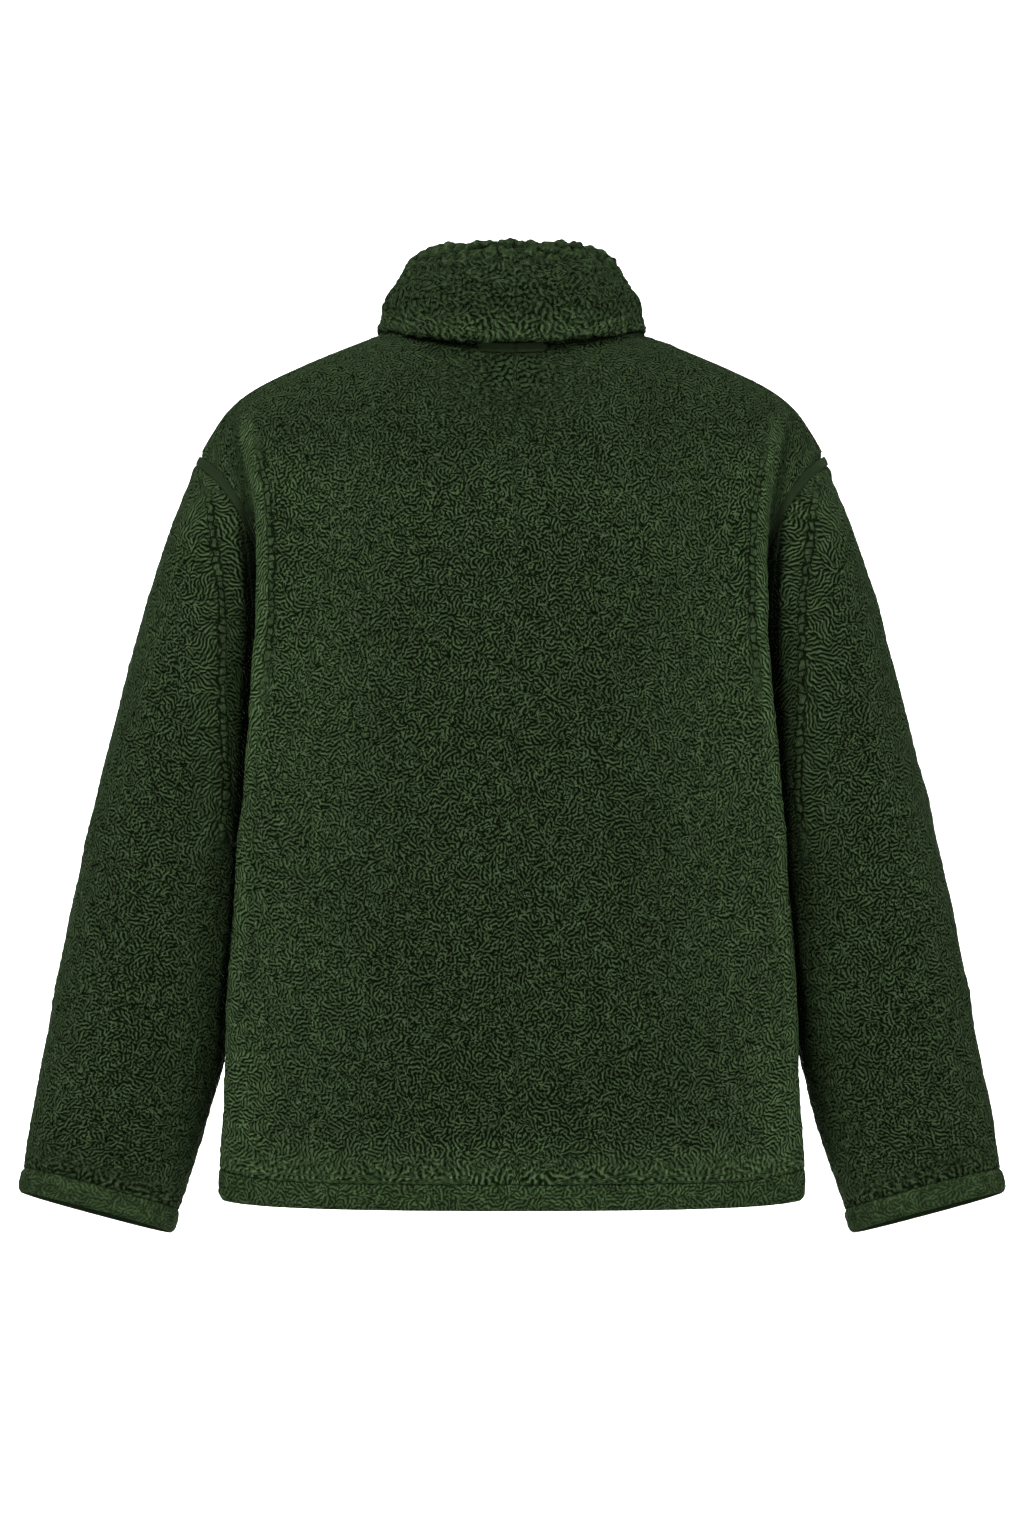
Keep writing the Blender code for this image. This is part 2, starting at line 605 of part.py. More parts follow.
def build_tapes(panels, finish):
    """Smooth tapes over the shoulder and armhole seams and along the back neck."""
    back, back_normals = panels["back"]
    front, front_normals = panels["front"]
    sleeve, sleeve_normals = panels["sleeve"]

    def between_seams(line):
        part = line[NECK_STEPS:].copy()
        for end, beside in ((0, 1), (-1, -2)):
            share = SHOULDER_TAPE_END / np.linalg.norm(seam_ends[end] - seam_ends[beside])
            part[end] += (part[beside] - part[end]) * share
        return part

    seam_ends = back[-1, NECK_STEPS:]
    outer, inner = strip_over_seam(
        between_seams(back[-1]),
        (between_seams(back[-2]), between_seams(front[-2])),
        between_seams(back_normals[-1]),
        (between_seams(back_normals[-2]), between_seams(front_normals[-2])),
        SHOULDER_TAPE / 2,
    )
    add_shell("shoulder_tape_left", outer, inner, finish)
    add_shell("shoulder_tape_right", mirrored(outer), mirrored(inner), finish)

    low = len(back) - 1 - HIGH_STEPS
    panel = np.concatenate([back[low:, -2][::-1], front[low + 1:, -2]], axis=0)[:-1]
    panel_normals = np.concatenate([back_normals[low:, -2][::-1], front_normals[low + 1:, -2]], axis=0)[:-1]
    above = np.roll(np.arange(2 * HIGH_STEPS), ARMHOLE_TAPE_STEPS)[: 2 * ARMHOLE_TAPE_STEPS + 1]
    outer, inner = strip_over_seam(
        sleeve[0, above],
        (panel[above], sleeve[1, above]),
        sleeve_normals[0, above],
        (panel_normals[above], sleeve_normals[1, above]),
        ARMHOLE_TAPE / 2,
    )
    add_shell("armhole_tape_left", outer, inner, finish)
    add_shell("armhole_tape_right", mirrored(outer), mirrored(inner), finish)

    top = back[-1, : NECK_STEPS + 1]
    run = back[-2, : NECK_STEPS + 1] - top
    run /= np.linalg.norm(run, axis=1, keepdims=True)
    out = back_normals[-1, : NECK_STEPS + 1]
    lines = np.array([top + run * fall + out * LIFT for fall in (0.0008, NECK_TAPE)])
    lines = np.concatenate([mirrored(lines)[:, -2:0:-1], lines[:, :-1]], axis=1)
    outs = np.concatenate([mirrored(out)[-2:0:-1], out[:-1]], axis=0)
    add_shell("neck_tape", lines + TAPE * outs, lines, finish)


def prism(name, outline, low, high, place, finish, bevel=0.0):
    """An outline in the piece's own X and Y, raised from low to high along its Z."""
    count = len(outline)
    points = [(x, y, z) for z in (low, high) for x, y in outline]
    faces = [tuple(range(count - 1, -1, -1)), tuple(range(count, 2 * count))]
    faces += [(i, (i + 1) % count, count + (i + 1) % count, count + i) for i in range(count)]
    mesh = bpy.data.meshes.new(name)
    mesh.from_pydata(points, [], faces)
    mesh.materials.append(finish)
    made = bpy.data.objects.new(name, mesh)
    bpy.context.scene.collection.objects.link(made)
    made.matrix_world = place
    if bevel:
        edge = made.modifiers.new("edges", "BEVEL")
        edge.width = bevel
        edge.segments = 2
        edge.limit_method = "ANGLE"
    return made


def combine(piece, other, operation):
    """Join or cut with a hidden guide, before the piece's edges are bevelled."""
    other.hide_render = True
    other.display_type = "WIRE"
    step = piece.modifiers.new(operation.lower(), "BOOLEAN")
    step.operation = operation
    step.solver = "EXACT"
    step.object = other
    last = len(piece.modifiers) - 1
    if last and piece.modifiers[0].type == "BEVEL":
        piece.modifiers.move(last, 0 if last == 1 else last - 1)


def rounded(half_width, low, high, corner, steps=4):
    """A rectangle from low to high with round lower corners."""
    points = [(half_width, high), (-half_width, high)]
    for side in (-1, 1):
        for k in range(steps + 1):
            turn = math.radians(90 * k / steps)
            across, drop = (math.cos(turn), math.sin(turn)) if side < 0 else (math.sin(turn), math.cos(turn))
            points.append((side * (half_width - corner + corner * across), low + corner - corner * drop))
    return points


def build_zip(panels, tape_finish, chain_finish, metal):
    """Closed zip behind the front edges, with its slider at the top."""
    front, front_normals = panels["front"]
    hem_drop = np.array([0.0, 0.0, -SEAM_GAP - HEM_BAND])
    edge = np.concatenate([front[:1, 0] + hem_drop, front[:, 0]])
    inside = np.concatenate([front[:1, 1] + hem_drop, front[:, 1]])
    out = np.concatenate([front_normals[:1, 0], front_normals[:, 0]]) * np.array([0.0, 1.0, 1.0])
    out /= np.linalg.norm(out, axis=1, keepdims=True)
    away = inside - edge
    away /= np.linalg.norm(away, axis=1, keepdims=True)
    face = edge - (CLOTH + ZIP_BEHIND) * out
    face[-1] += (face[-2] - face[-1]) * 0.0012 / np.linalg.norm(face[-2] - face[-1])
    reach = (FRONT_EDGE - CHAIN_WIDTH / 2 - SEAM_GAP) / away[:, :1]
    outer = np.stack([face - away * reach, face + away * ZIP_TAPE_HOLD], axis=0)
    inner = outer - ZIP_TAPE * out[None]
    add_shell("zip_tape_left", outer, inner, tape_finish)
    add_shell("zip_tape_right", mirrored(outer), mirrored(inner), tape_finish)

    middle = (outer[0] + inner[0]) / 2
    middle[:, 0] = 0.0
    fine = spline(middle, np.linspace(0, 1, 400))
    reach = np.concatenate(([0.0], np.cumsum(np.linalg.norm(np.diff(fine, axis=0), axis=1))))
    slider_at = reach[-1] - SLIDER_DOWN
    chain_start = BOX_LENGTH + SEAM_GAP
    chain_end = slider_at + SLIDER_LENGTH / 2 - SLIDER_POST - SEAM_GAP
    places = reach_of(middle, fine, reach)
    between = middle[(places > chain_start + CHAIN_WIDTH) & (places < chain_end - CHAIN_WIDTH)]
    first = point_at(fine, reach, chain_start)
    last = point_at(fine, reach, chain_end)
    kept = np.concatenate([[first], between, [last]])
    kept_out = outward_along(kept)
    half = np.array([CHAIN_WIDTH / 2, 0.0, 0.0])
    high = np.stack([kept - half, kept + half]) + kept_out * CHAIN_THICK / 2
    low = np.stack([kept - half, kept + half]) - kept_out * CHAIN_THICK / 2
    add_shell("zip_chain", high, low, chain_finish)

    centre = Vector(point_at(fine, reach, slider_at))
    ahead = Vector(point_at(fine, reach, slider_at + 0.002))
    up = (ahead - centre).normalized()
    across = Vector((-1.0, 0.0, 0.0))
    outwards = across.cross(up).normalized()
    if outwards.y > 0:
        across = -across
        outwards = -outwards
    place = Matrix.Translation(centre) @ Matrix((across, up, outwards)).transposed().to_4x4()

    near = CHAIN_THICK / 2 + SEAM_GAP
    length = SLIDER_LENGTH / 2
    wide = SLIDER_WIDTH / 2
    slider = prism(
        "zip_slider", rounded(wide, -length, length, 0.0022), -near - SLIDER_PLATE, near + SLIDER_PLATE,
        place, metal, 0.0004,
    )
    post = (SLIDER_POST / 2, length - SLIDER_POST)
    clear = 0.02
    track = [(-clear, -clear), (clear, -clear), (clear, clear), (post[0], clear), post]
    track += [(-post[0], post[1]), (-post[0], clear), (-clear, clear)]
    combine(slider, prism("track", track, -near, near, place, metal), "DIFFERENCE")
    crown_place = place @ Matrix.Rotation(math.radians(90), 4, "Y")
    top = near + SLIDER_PLATE
    outline = [(-top + 0.0004, -0.0048), (-top - 0.0030, -0.0040), (-top - 0.0036, -0.0028)]
    outline += [(-top - 0.0036, 0.0028), (-top - 0.0030, 0.0040), (-top + 0.0004, 0.0048)]
    outline += [(-top + 0.0004, 0.0036), (-top - 0.0024, 0.0028), (-top - 0.0024, -0.0028), (-top + 0.0004, -0.0036)]
    crown = prism("crown", outline, -0.0010, 0.0010, crown_place, metal)
    combine(slider, crown, "UNION")

    hinge = place @ Matrix.Translation((0.0, 0.0, top + PULL_AXIS_UP))
    pull = prism(
        "zip_pull", rounded(PULL_WIDTH / 2, -PULL_LENGTH, PULL_THICK / 2, 0.0030),
        -PULL_THICK / 2, PULL_THICK / 2, hinge, metal, 0.0003,
    )
    window = [(-0.0021, -0.0068), (0.0021, -0.0068), (0.0021, -PULL_THICK / 2), (-0.0021, -PULL_THICK / 2)]
    combine(pull, prism("window", window, -0.01, 0.01, hinge, metal), "DIFFERENCE")

    foot = Vector(middle[0])
    rise = (Vector(middle[1]) - foot).normalized()
    box_place = Matrix.Translation(foot) @ Matrix((across, rise, across.cross(rise))).transposed().to_4x4()
    thick = CHAIN_THICK / 2 + 0.0004
    outline = rounded(CHAIN_WIDTH / 2, 0.0, BOX_LENGTH, 0.0012)
    prism("zip_box", outline, -thick, thick, box_place, metal, 0.0003)


def build_collar(finish):
    half = np.append(np.arange(COLLAR_STEPS) * COLLAR_STEP, COLLAR_FRONT_TURN)
    turns = np.concatenate([-half[:0:-1], half])
    sections = []
    for turn in turns:
        leaf_turn = abs(turn) - COLLAR_POINT_SPREAD * max(0.0, (abs(turn) - 120) / 51) ** 2
        section = collar_profile(abs(turn), leaf_turn)
        sections.append(section if turn >= 0 else mirrored(section))
    add_tube_of_sections("collar", np.array(sections), finish)


def main():
    for thing in list(bpy.data.objects):
        bpy.data.objects.remove(thing, do_unlink=True)
    pile = material("pile_fleece", GREEN, 0.95)
    band = material("clipped_fleece", GREEN, 0.92)
    tape = material("seam_tape", TAPE_GREEN, 0.85)
    panels = build_panels(pile)
    build_bands(panels, band)
    build_tapes(panels, tape)
    build_collar(pile)
    zip_cloth = material("zip_tape", ZIP_GREEN, 0.8)
    zip_teeth = material("zip_teeth", ZIP_GREEN, 0.45)
    metal = material("dark_metal", METAL, 0.35, 0.9)
    build_zip(panels, zip_cloth, zip_teeth, metal)


main()
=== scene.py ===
# A pile fleece jacket, filled out as when worn and hollow: turned-down collar, taped seams,
# bound hem and cuffs, and a closed zip at the centre front. Metres, the back faces +Y.
import math
from itertools import product

import bmesh
import bpy
import numpy as np
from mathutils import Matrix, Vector
from mathutils.kdtree import KDTree


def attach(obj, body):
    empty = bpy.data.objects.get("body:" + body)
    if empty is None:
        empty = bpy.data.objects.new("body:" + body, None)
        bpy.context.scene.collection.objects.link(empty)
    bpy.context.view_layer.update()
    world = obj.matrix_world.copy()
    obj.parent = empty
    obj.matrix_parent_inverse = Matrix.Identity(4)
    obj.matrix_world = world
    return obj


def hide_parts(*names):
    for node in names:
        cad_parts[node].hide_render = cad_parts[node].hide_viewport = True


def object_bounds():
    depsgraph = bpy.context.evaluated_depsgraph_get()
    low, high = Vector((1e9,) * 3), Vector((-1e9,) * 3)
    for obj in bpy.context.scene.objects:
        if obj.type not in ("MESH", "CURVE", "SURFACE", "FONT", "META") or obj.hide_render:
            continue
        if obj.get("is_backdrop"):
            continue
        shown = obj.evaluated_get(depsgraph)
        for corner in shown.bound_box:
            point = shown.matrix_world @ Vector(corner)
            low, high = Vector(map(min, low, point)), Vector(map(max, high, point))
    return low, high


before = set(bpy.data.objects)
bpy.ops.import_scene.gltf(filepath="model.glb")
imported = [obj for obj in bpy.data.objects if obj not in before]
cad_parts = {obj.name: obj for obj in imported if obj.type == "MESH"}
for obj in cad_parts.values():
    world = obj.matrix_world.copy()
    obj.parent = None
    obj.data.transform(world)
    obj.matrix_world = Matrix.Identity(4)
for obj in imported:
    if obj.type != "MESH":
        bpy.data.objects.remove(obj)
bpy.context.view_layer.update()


def table(names, *values):
    grid = np.array(values, dtype=float)
    return {name: grid[:, i] for i, name in enumerate(names.split())}


def smoothColumn(rows, by, name, at):
    # one column of a table at values of another, on a smooth curve
    order = np.argsort(rows[by])
    x, y = rows[by][order], rows[name][order]
    step = np.diff(x)
    slope = np.diff(y) / step
    inner = np.where(
        slope[:-1] * slope[1:] > 0, 2 * slope[:-1] * slope[1:] / (slope[:-1] + slope[1:] + 1e-12), 0.0
    )
    tangent = np.concatenate(([slope[0]], inner, [slope[-1]]))
    at = np.clip(np.asarray(at, dtype=float), x[0], x[-1])
    i = np.clip(np.searchsorted(x, at) - 1, 0, len(x) - 2)
    t = (at - x[i]) / step[i]
    return (
        y[i] * (1 + 2 * t) * (1 - t) ** 2
        + tangent[i] * step[i] * t * (1 - t) ** 2
        + y[i + 1] * t**2 * (3 - 2 * t)
        - tangent[i + 1] * step[i] * t**2 * (1 - t)
    )


def along(points, shares):
    reach = np.concatenate(([0.0], np.cumsum(np.linalg.norm(np.diff(points, axis=0), axis=1))))
    reach /= reach[-1]
    return np.stack([np.interp(shares, reach, points[:, k]) for k in range(3)], axis=1)


def curvePoint(a, b, c, d, f):
    # a smooth curve through b and c, f of the way from b to c
    return 0.5 * (2 * b + (c - a) * f + (2 * a - 5 * b + 4 * c - d) * f**2 + (3 * b - a - 3 * c + d) * f**3)


def spline(keys, shares):
    keys = np.asarray(keys, dtype=float)
    count = len(keys)
    ends = np.vstack([2 * keys[0] - keys[1], keys, 2 * keys[-1] - keys[-2]])
    t = np.linspace(0, count - 1, 40 * (count - 1) + 1)
    i = np.minimum(t.astype(int), count - 2)
    f = (t - i)[:, None]
    a, b, c, d = ends[i], ends[i + 1], ends[i + 2], ends[i + 3]
    return along(curvePoint(a, b, c, d, f), shares)


def ease(value):
    value = np.clip(value, 0.0, 1.0)
    return value * value * (3 - 2 * value)


def fade(value, start, end):
    # from 0 at start to 1 at end, whichever is greater
    return ease((value - start) / (end - start))


def bell(value, width):
    return np.exp(-((value / width) ** 2))


def latticeNoise(points, size, seed):
    # soft noise from -1 to 1 in space, blended between random values on a grid
    at = points / size + 1000.0
    cell = np.floor(at).astype(np.int64)
    part = at - cell
    part = part * part * (3 - 2 * part)
    total = np.zeros(points.shape[:-1])
    for corner in range(8):
        pick = [(corner >> k) & 1 for k in range(3)]
        key = (cell[..., 0] + pick[0]) * 73856093
        key ^= (cell[..., 1] + pick[1]) * 19349663
        key ^= (cell[..., 2] + pick[2]) * 83492791
        key = (key + seed * 2654435761) & 0xFFFFFFFF
        key = ((key ^ (key >> 15)) * 2246822519) & 0xFFFFFFFF
        key = ((key ^ (key >> 13)) * 3266489917) & 0xFFFFFFFF
        value = (key ^ (key >> 16)) / 2147483648.0 - 1.0
        weight = np.ones(points.shape[:-1])
        for k in range(3):
            weight = weight * (part[..., k] if pick[k] else 1 - part[..., k])
        total += weight * value
    return total


def curlNoise(points, size, seed, bend=0.6):
    # worm-like ridges from -1 to 1, all about one size: many waves of one length, bent
    rng = np.random.default_rng(seed)
    bent = points.copy()
    for k in range(3):
        bent[..., k] += bend * size * latticeNoise(points, size * 2.2, seed + 11 * k)
    total = np.zeros(points.shape[:-1])
    for way, phase in zip(rng.normal(size=(22, 3)), rng.uniform(0, 2 * math.pi, 22)):
        total += np.cos(bent @ (way / np.linalg.norm(way) * 2 * math.pi / size) + phase)
    return total / math.sqrt(22 / 2)


def pebbles(points, size, seed, tries=16000, apart=0.72, crack=0.55):
    # round lumps about one size wide: 0 in the cracks between them, 1 in the middle
    rng = np.random.default_rng(seed)
    flat = points.reshape(-1, 3)
    around = list(product((-1, 0, 1), repeat=3))
    chosen = {}
    for k in rng.permutation(len(flat))[:tries]:
        cell = np.floor(flat[k] / size).astype(int)
        near = [chosen.get(tuple(cell + step)) for step in around]
        if all(other is None or np.linalg.norm(other - flat[k]) > apart * size for other in near):
            chosen[tuple(cell)] = flat[k]
    tree = KDTree(len(chosen))
    for k, centre in enumerate(chosen.values()):
        tree.insert(centre, k)
    tree.balance()
    gaps = []
    for point in flat:
        near = tree.find_n(point, 2)
        gaps.append(near[1][2] - near[0][2])
    rise = np.clip(np.array(gaps) / (crack * size), 0, 1)
    return (1 - (1 - rise) ** 2).reshape(points.shape[:-1])


def unitRows(values):
    return values / (np.linalg.norm(values, axis=-1, keepdims=True) + 1e-12)


def gridNormals(grid, wrap=False):
    across = np.gradient(grid, axis=1)
    if wrap:
        across = (np.roll(grid, -1, axis=1) - np.roll(grid, 1, axis=1)) / 2
    return unitRows(np.cross(across, np.gradient(grid, axis=0)))


def runningLength(steps, axis):
    # metres gone since the first row (axis 0) or the first column (axis 1)
    lengths = np.cumsum(np.linalg.norm(steps, axis=2), axis=axis)
    start = np.zeros_like(lengths[:1] if axis == 0 else lengths[:, :1])
    return np.concatenate([start, lengths], axis=axis)


def gridReach(grid):
    # metres along the rows and along the columns, from the middle column and the first row
    u = runningLength(np.diff(grid, axis=1), 1)
    v = runningLength(np.diff(grid, axis=0), 0)
    return np.stack([u - u[:, u.shape[1] // 2, None], v], axis=-1)


def axisReach(grid, axis):
    # the same on a tube: round it and along its axis
    step = np.diff(grid, axis=1)
    u = runningLength(step - (step @ axis)[..., None] * axis, 1)
    return np.stack([u - u[:, u.shape[1] // 2, None], (grid - grid[0, 0]) @ axis], axis=-1)


def fromTop(grid):
    # metres from the last row
    return runningLength(np.diff(grid, axis=0)[::-1], 0)[::-1]


def fromLeft(grid):
    # metres from the first column
    return runningLength(np.diff(grid, axis=1), 1)


def fromRight(grid):
    # metres from the last column
    return runningLength(np.diff(grid, axis=1)[:, ::-1], 1)[:, ::-1]


def strokeAngle(grid, reach, goal):
    # angle at which curls lie so that they point along goal on the surface
    across = np.gradient(grid, axis=1)
    down = np.gradient(grid, axis=0)
    goal = np.broadcast_to(goal, grid.shape)
    aa, ab, bb = (across * across).sum(-1), (across * down).sum(-1), (down * down).sum(-1)
    ga, gb = (goal * across).sum(-1), (goal * down).sum(-1)
    size = np.maximum(aa * bb - ab * ab, 1e-18)
    i, j = (ga * bb - gb * ab) / size, (gb * aa - ga * ab) / size
    mapped = i[..., None] * np.gradient(reach, axis=1) + j[..., None] * np.gradient(reach, axis=0)
    return np.arctan2(mapped[..., 0], -mapped[..., 1])


def mirrored(grid):
    return grid * np.array([-1.0, 1.0, 1.0])


pieces = {}


def addMesh(name, points, faces, uvs, finish, marks=None):
    mesh = bpy.data.meshes.new(name)
    mesh.from_pydata(points.tolist(), [], faces)
    layer = mesh.uv_layers.new(name="cloth")
    corner = np.empty(len(mesh.loops), dtype=np.int32)
    mesh.loops.foreach_get("vertex_index", corner)
    layer.uv.foreach_set("vector", np.asarray(uvs, dtype=np.float32)[corner].ravel())
    for label, values in (marks or {}).items():
        mark = mesh.attributes.new(label, "FLOAT", "POINT")
        mark.data.foreach_set("value", np.asarray(values, dtype=np.float32).ravel())
    mesh.shade_smooth()
    mesh.materials.append(finish)
    pieces[name] = bpy.data.objects.new(name, mesh)
    bpy.context.scene.collection.objects.link(pieces[name])


def closeMesh(name, turnFaces):
    # splits faces of many corners and turns every face outward
    mesh = pieces[name].data
    shape = bmesh.new()
    shape.from_mesh(mesh)
    bmesh.ops.triangulate(shape, faces=[face for face in shape.faces if len(face.verts) > 4])
    if turnFaces:
        bmesh.ops.recalc_face_normals(shape, faces=shape.faces)
    if shape.calc_volume(signed=True) < 0:
        bmesh.ops.reverse_faces(shape, faces=shape.faces)
    shape.to_mesh(mesh)
    shape.free()
    mesh.shade_smooth()
    print(name, "made,", len(mesh.polygons), "faces")


def addCloth(name, outer, inner, coarse, finish, wrap=False, marks=None, reach=None):
    # closed thin shell: a fine outer face, a plainer inner face on every coarse-th point,
    # and edges that join the two; a right piece is its left twin mirrored
    if name.endswith("_right"):
        outer, inner = mirrored(outer), mirrored(inner)
    tall, wide = outer.shape[:2]
    lowRows = np.arange(0, tall, coarse)
    lowColumns = np.arange(0, wide, coarse)
    if lowRows[-1] != tall - 1:
        lowRows = np.append(lowRows, tall - 1)
    if not wrap and lowColumns[-1] != wide - 1:
        lowColumns = np.append(lowColumns, wide - 1)
    under = inner[np.ix_(lowRows, lowColumns)]
    base = tall * wide
    lowWide = len(lowColumns)
    last = wide if wrap else wide - 1
    i, j = np.meshgrid(np.arange(tall - 1), np.arange(last), indexing="ij")
    a, b = i * wide + j, i * wide + (j + 1) % wide
    faces = np.stack([a, b, b + wide, a + wide], axis=-1).reshape(-1, 4).tolist()
    lowLast = lowWide if wrap else lowWide - 1
    i, j = np.meshgrid(np.arange(len(lowRows) - 1), np.arange(lowLast), indexing="ij")
    a, b = base + i * lowWide + j, base + i * lowWide + (j + 1) % lowWide
    faces += np.stack([a, a + lowWide, b + lowWide, b], axis=-1).reshape(-1, 4).tolist()

    def sew(fine, plain, flip):
        # fine has every point of the outer edge, plain the place of each inner point in it
        for k in range(len(plain) - 1):
            start, low = plain[k]
            end, high = plain[k + 1]
            points = [fine[m % len(fine)] for m in range(start, end + 1)] + [high, low]
            faces.append(points[::-1] if flip else points)

    columns = list(lowColumns) + ([wide] if wrap else [])
    for row, lowRow, flip in ((0, 0, True), (tall - 1, len(lowRows) - 1, False)):
        fine = [row * wide + m for m in range(wide)]
        plain = [(c, base + lowRow * lowWide + k % lowWide) for k, c in enumerate(columns)]
        sew(fine, plain, flip)
    if not wrap:
        for column, lowColumn, flip in ((0, 0, False), (wide - 1, lowWide - 1, True)):
            fine = [m * wide + column for m in range(tall)]
            plain = [(r, base + k * lowWide + lowColumn) for k, r in enumerate(lowRows)]
            sew(fine, plain, flip)
    reach = (gridReach(outer) if reach is None else reach) + 0.23 * len(bpy.data.meshes)
    uvs = np.concatenate([reach.reshape(-1, 2), reach[np.ix_(lowRows, lowColumns)].reshape(-1, 2) + 3.0])
    both = {"inside": np.concatenate([np.zeros(base), np.ones(len(under.reshape(-1, 3)))])}
    for label, values in (marks or {}).items():
        both[label] = np.concatenate([values.ravel(), values[np.ix_(lowRows, lowColumns)].ravel()])
    points = np.concatenate([outer.reshape(-1, 3), under.reshape(-1, 3)])
    addMesh(name, points, faces, uvs, finish, both)
    closeMesh(name, False)


# the same form as the jacket's solids: level body sections, seams, sleeve and collar sections
body = table(
    "z foldX sideX backY frontY",
    (-0.649, 0.2202, 0.2186, 0.118, 0.119),
    (-0.580, 0.2172, 0.2125, 0.120, 0.121),
    (-0.500, 0.2150, 0.2015, 0.122, 0.123),
    (-0.420, 0.2100, 0.1900, 0.124, 0.126),
    (-0.340, 0.2030, 0.1808, 0.126, 0.128),
    (-0.280, 0.1980, 0.1755, 0.127, 0.129),
    (-0.235, 0.1948, 0.1740, 0.127, 0.129),
)
armholeBack = table(
    "x y z",
    (0.1740, -0.004, -0.2350),
    (0.1780, 0.018, -0.2180),
    (0.1840, 0.036, -0.1950),
    (0.1900, 0.046, -0.1744),
    (0.1960, 0.050, -0.1600),
    (0.2077, 0.049, -0.1356),
    (0.2240, 0.036, -0.1139),
    (0.2350, 0.020, -0.1035),
    (0.2426, 0.000, -0.0977),
)
armholeFront = table(
    "x y z",
    (0.1740, -0.004, -0.2350),
    (0.1760, -0.034, -0.2140),
    (0.1800, -0.056, -0.1860),
    (0.1880, -0.064, -0.1590),
    (0.2020, -0.059, -0.1330),
    (0.2210, -0.042, -0.1130),
    (0.2350, -0.021, -0.1030),
    (0.2426, 0.000, -0.0977),
)
shoulderSeam = table(
    "x z",
    (0.0980, 0.0000),
    (0.1330, -0.0135),
    (0.1693, -0.0289),
    (0.1996, -0.0442),
    (0.2182, -0.0592),
    (0.2337, -0.0814),
    (0.2426, -0.0977),
)
backFold = table(
    "z edgeX ridge trough",
    (-0.360, 0.2040, 0.000, 0.000),
    (-0.300, 0.1985, 0.002, 0.000),
    (-0.235, 0.1952, 0.004, 0.004),
    (-0.190, 0.1952, 0.007, 0.011),
    (-0.150, 0.1965, 0.008, 0.018),
    (-0.112, 0.2005, 0.008, 0.020),
    (-0.082, 0.2065, 0.004, 0.010),
    (-0.050, 0.2090, 0.000, 0.000),
)
besideFold = table(  # how far the shade under the body's fold reaches over the sleeve
    "z edgeX wide soft dark",
    (-0.640, 0.2290, 0.001, 0.003, 0.0),
    (-0.600, 0.2265, 0.002, 0.004, 0.6),
    (-0.562, 0.2240, 0.003, 0.004, 1.0),
    (-0.515, 0.2190, 0.006, 0.005, 1.0),
    (-0.438, 0.2118, 0.005, 0.006, 1.0),
    (-0.360, 0.2075, 0.0045, 0.006, 1.0),
    (-0.283, 0.2010, 0.006, 0.007, 1.0),
    (-0.205, 0.1956, 0.0082, 0.006, 1.0),
    (-0.174, 0.1956, 0.0090, 0.007, 0.95),
    (-0.143, 0.1968, 0.007, 0.010, 0.75),
    (-0.112, 0.2018, 0.004, 0.010, 0.4),
    (-0.081, 0.2075, 0.002, 0.008, 0.2),
    (-0.065, 0.2100, 0.001, 0.006, 0.0),
)
sleeveForm = table(
    "outerX outerZ innerX innerZ halfDepth middleY tuck hang",
    (0.2620, -0.1434, 0.1820, -0.2600, 0.0700, -0.006, 0.80, 0.00),
    (0.2778, -0.1900, 0.1860, -0.2880, 0.0730, -0.011, 0.80, 0.00),
    (0.2918, -0.2364, 0.1890, -0.3200, 0.0740, -0.016, 0.70, 0.00),
    (0.3081, -0.2984, 0.1935, -0.3650, 0.0730, -0.020, 0.66, 0.00),
    (0.3240, -0.3604, 0.1990, -0.4150, 0.0710, -0.024, 0.58, 0.00),
    (0.3383, -0.4224, 0.2060, -0.4650, 0.0680, -0.027, 0.46, 0.00),
    (0.3513, -0.4844, 0.2150, -0.5150, 0.0635, -0.029, 0.34, 0.02),
    (0.3630, -0.5464, 0.2275, -0.5750, 0.0585, -0.030, 0.22, 0.06),
    (0.3752, -0.6090, 0.2462, -0.6375, 0.0500, -0.031, 0.10, 0.105),
    (0.3812, -0.6478, 0.2600, -0.6800, 0.0400, -0.031, 0.00, 0.148),
)
collarForm = table(
    "turn foldUp lean edgeOut edgeUp",
    (0, 0.0840, 0.0150, 0.0190, 0.0060),
    (30, 0.0797, 0.0180, 0.0165, 0.0062),
    (60, 0.0660, 0.0245, 0.0075, 0.0055),
    (90, 0.0510, 0.0270, 0.0040, 0.0048),
    (135, 0.0450, 0.0230, 0.0200, 0.0050),
    (180, 0.0390, 0.0170, 0.0235, -0.0030),
)
form = {
    "underarmZ": -0.235,
    "bodyRound": 2 / 2.5,  # powers that square off the rounds of the body, its top and the sleeves
    "topRound": 2 / 2.6,
    "sleeveRound": 2 / 2.3,
    "foldAngle": 66,  # where the back swells beside the sleeve, in degrees from its middle
    "foldWidth": 14,
    "sideForward": 0.004,
    "ridge": -0.012,  # the fold's ridge and trough beside its edge, and their widths
    "ridgeWidth": 0.012,
    "trough": 0.0105,
    "troughWidth": 0.0085,
    "neckHalfWidth": 0.098,
    "neckBack": (0.060, -0.0155),
    "neckFront": (-0.085, -0.062),
    "neckHollow": 1.7,
    "neckColumn": 0.42,
    "topSoftness": 0.16,
    "frontEdge": 0.0062,
    "hemRise": 0.0068,  # and the level part and the rising part of each half
    "hemLevel": 0.150,
    "hemRun": 0.070,
    "cloth": 0.0042,
    "seamGap": 0.0003,
}


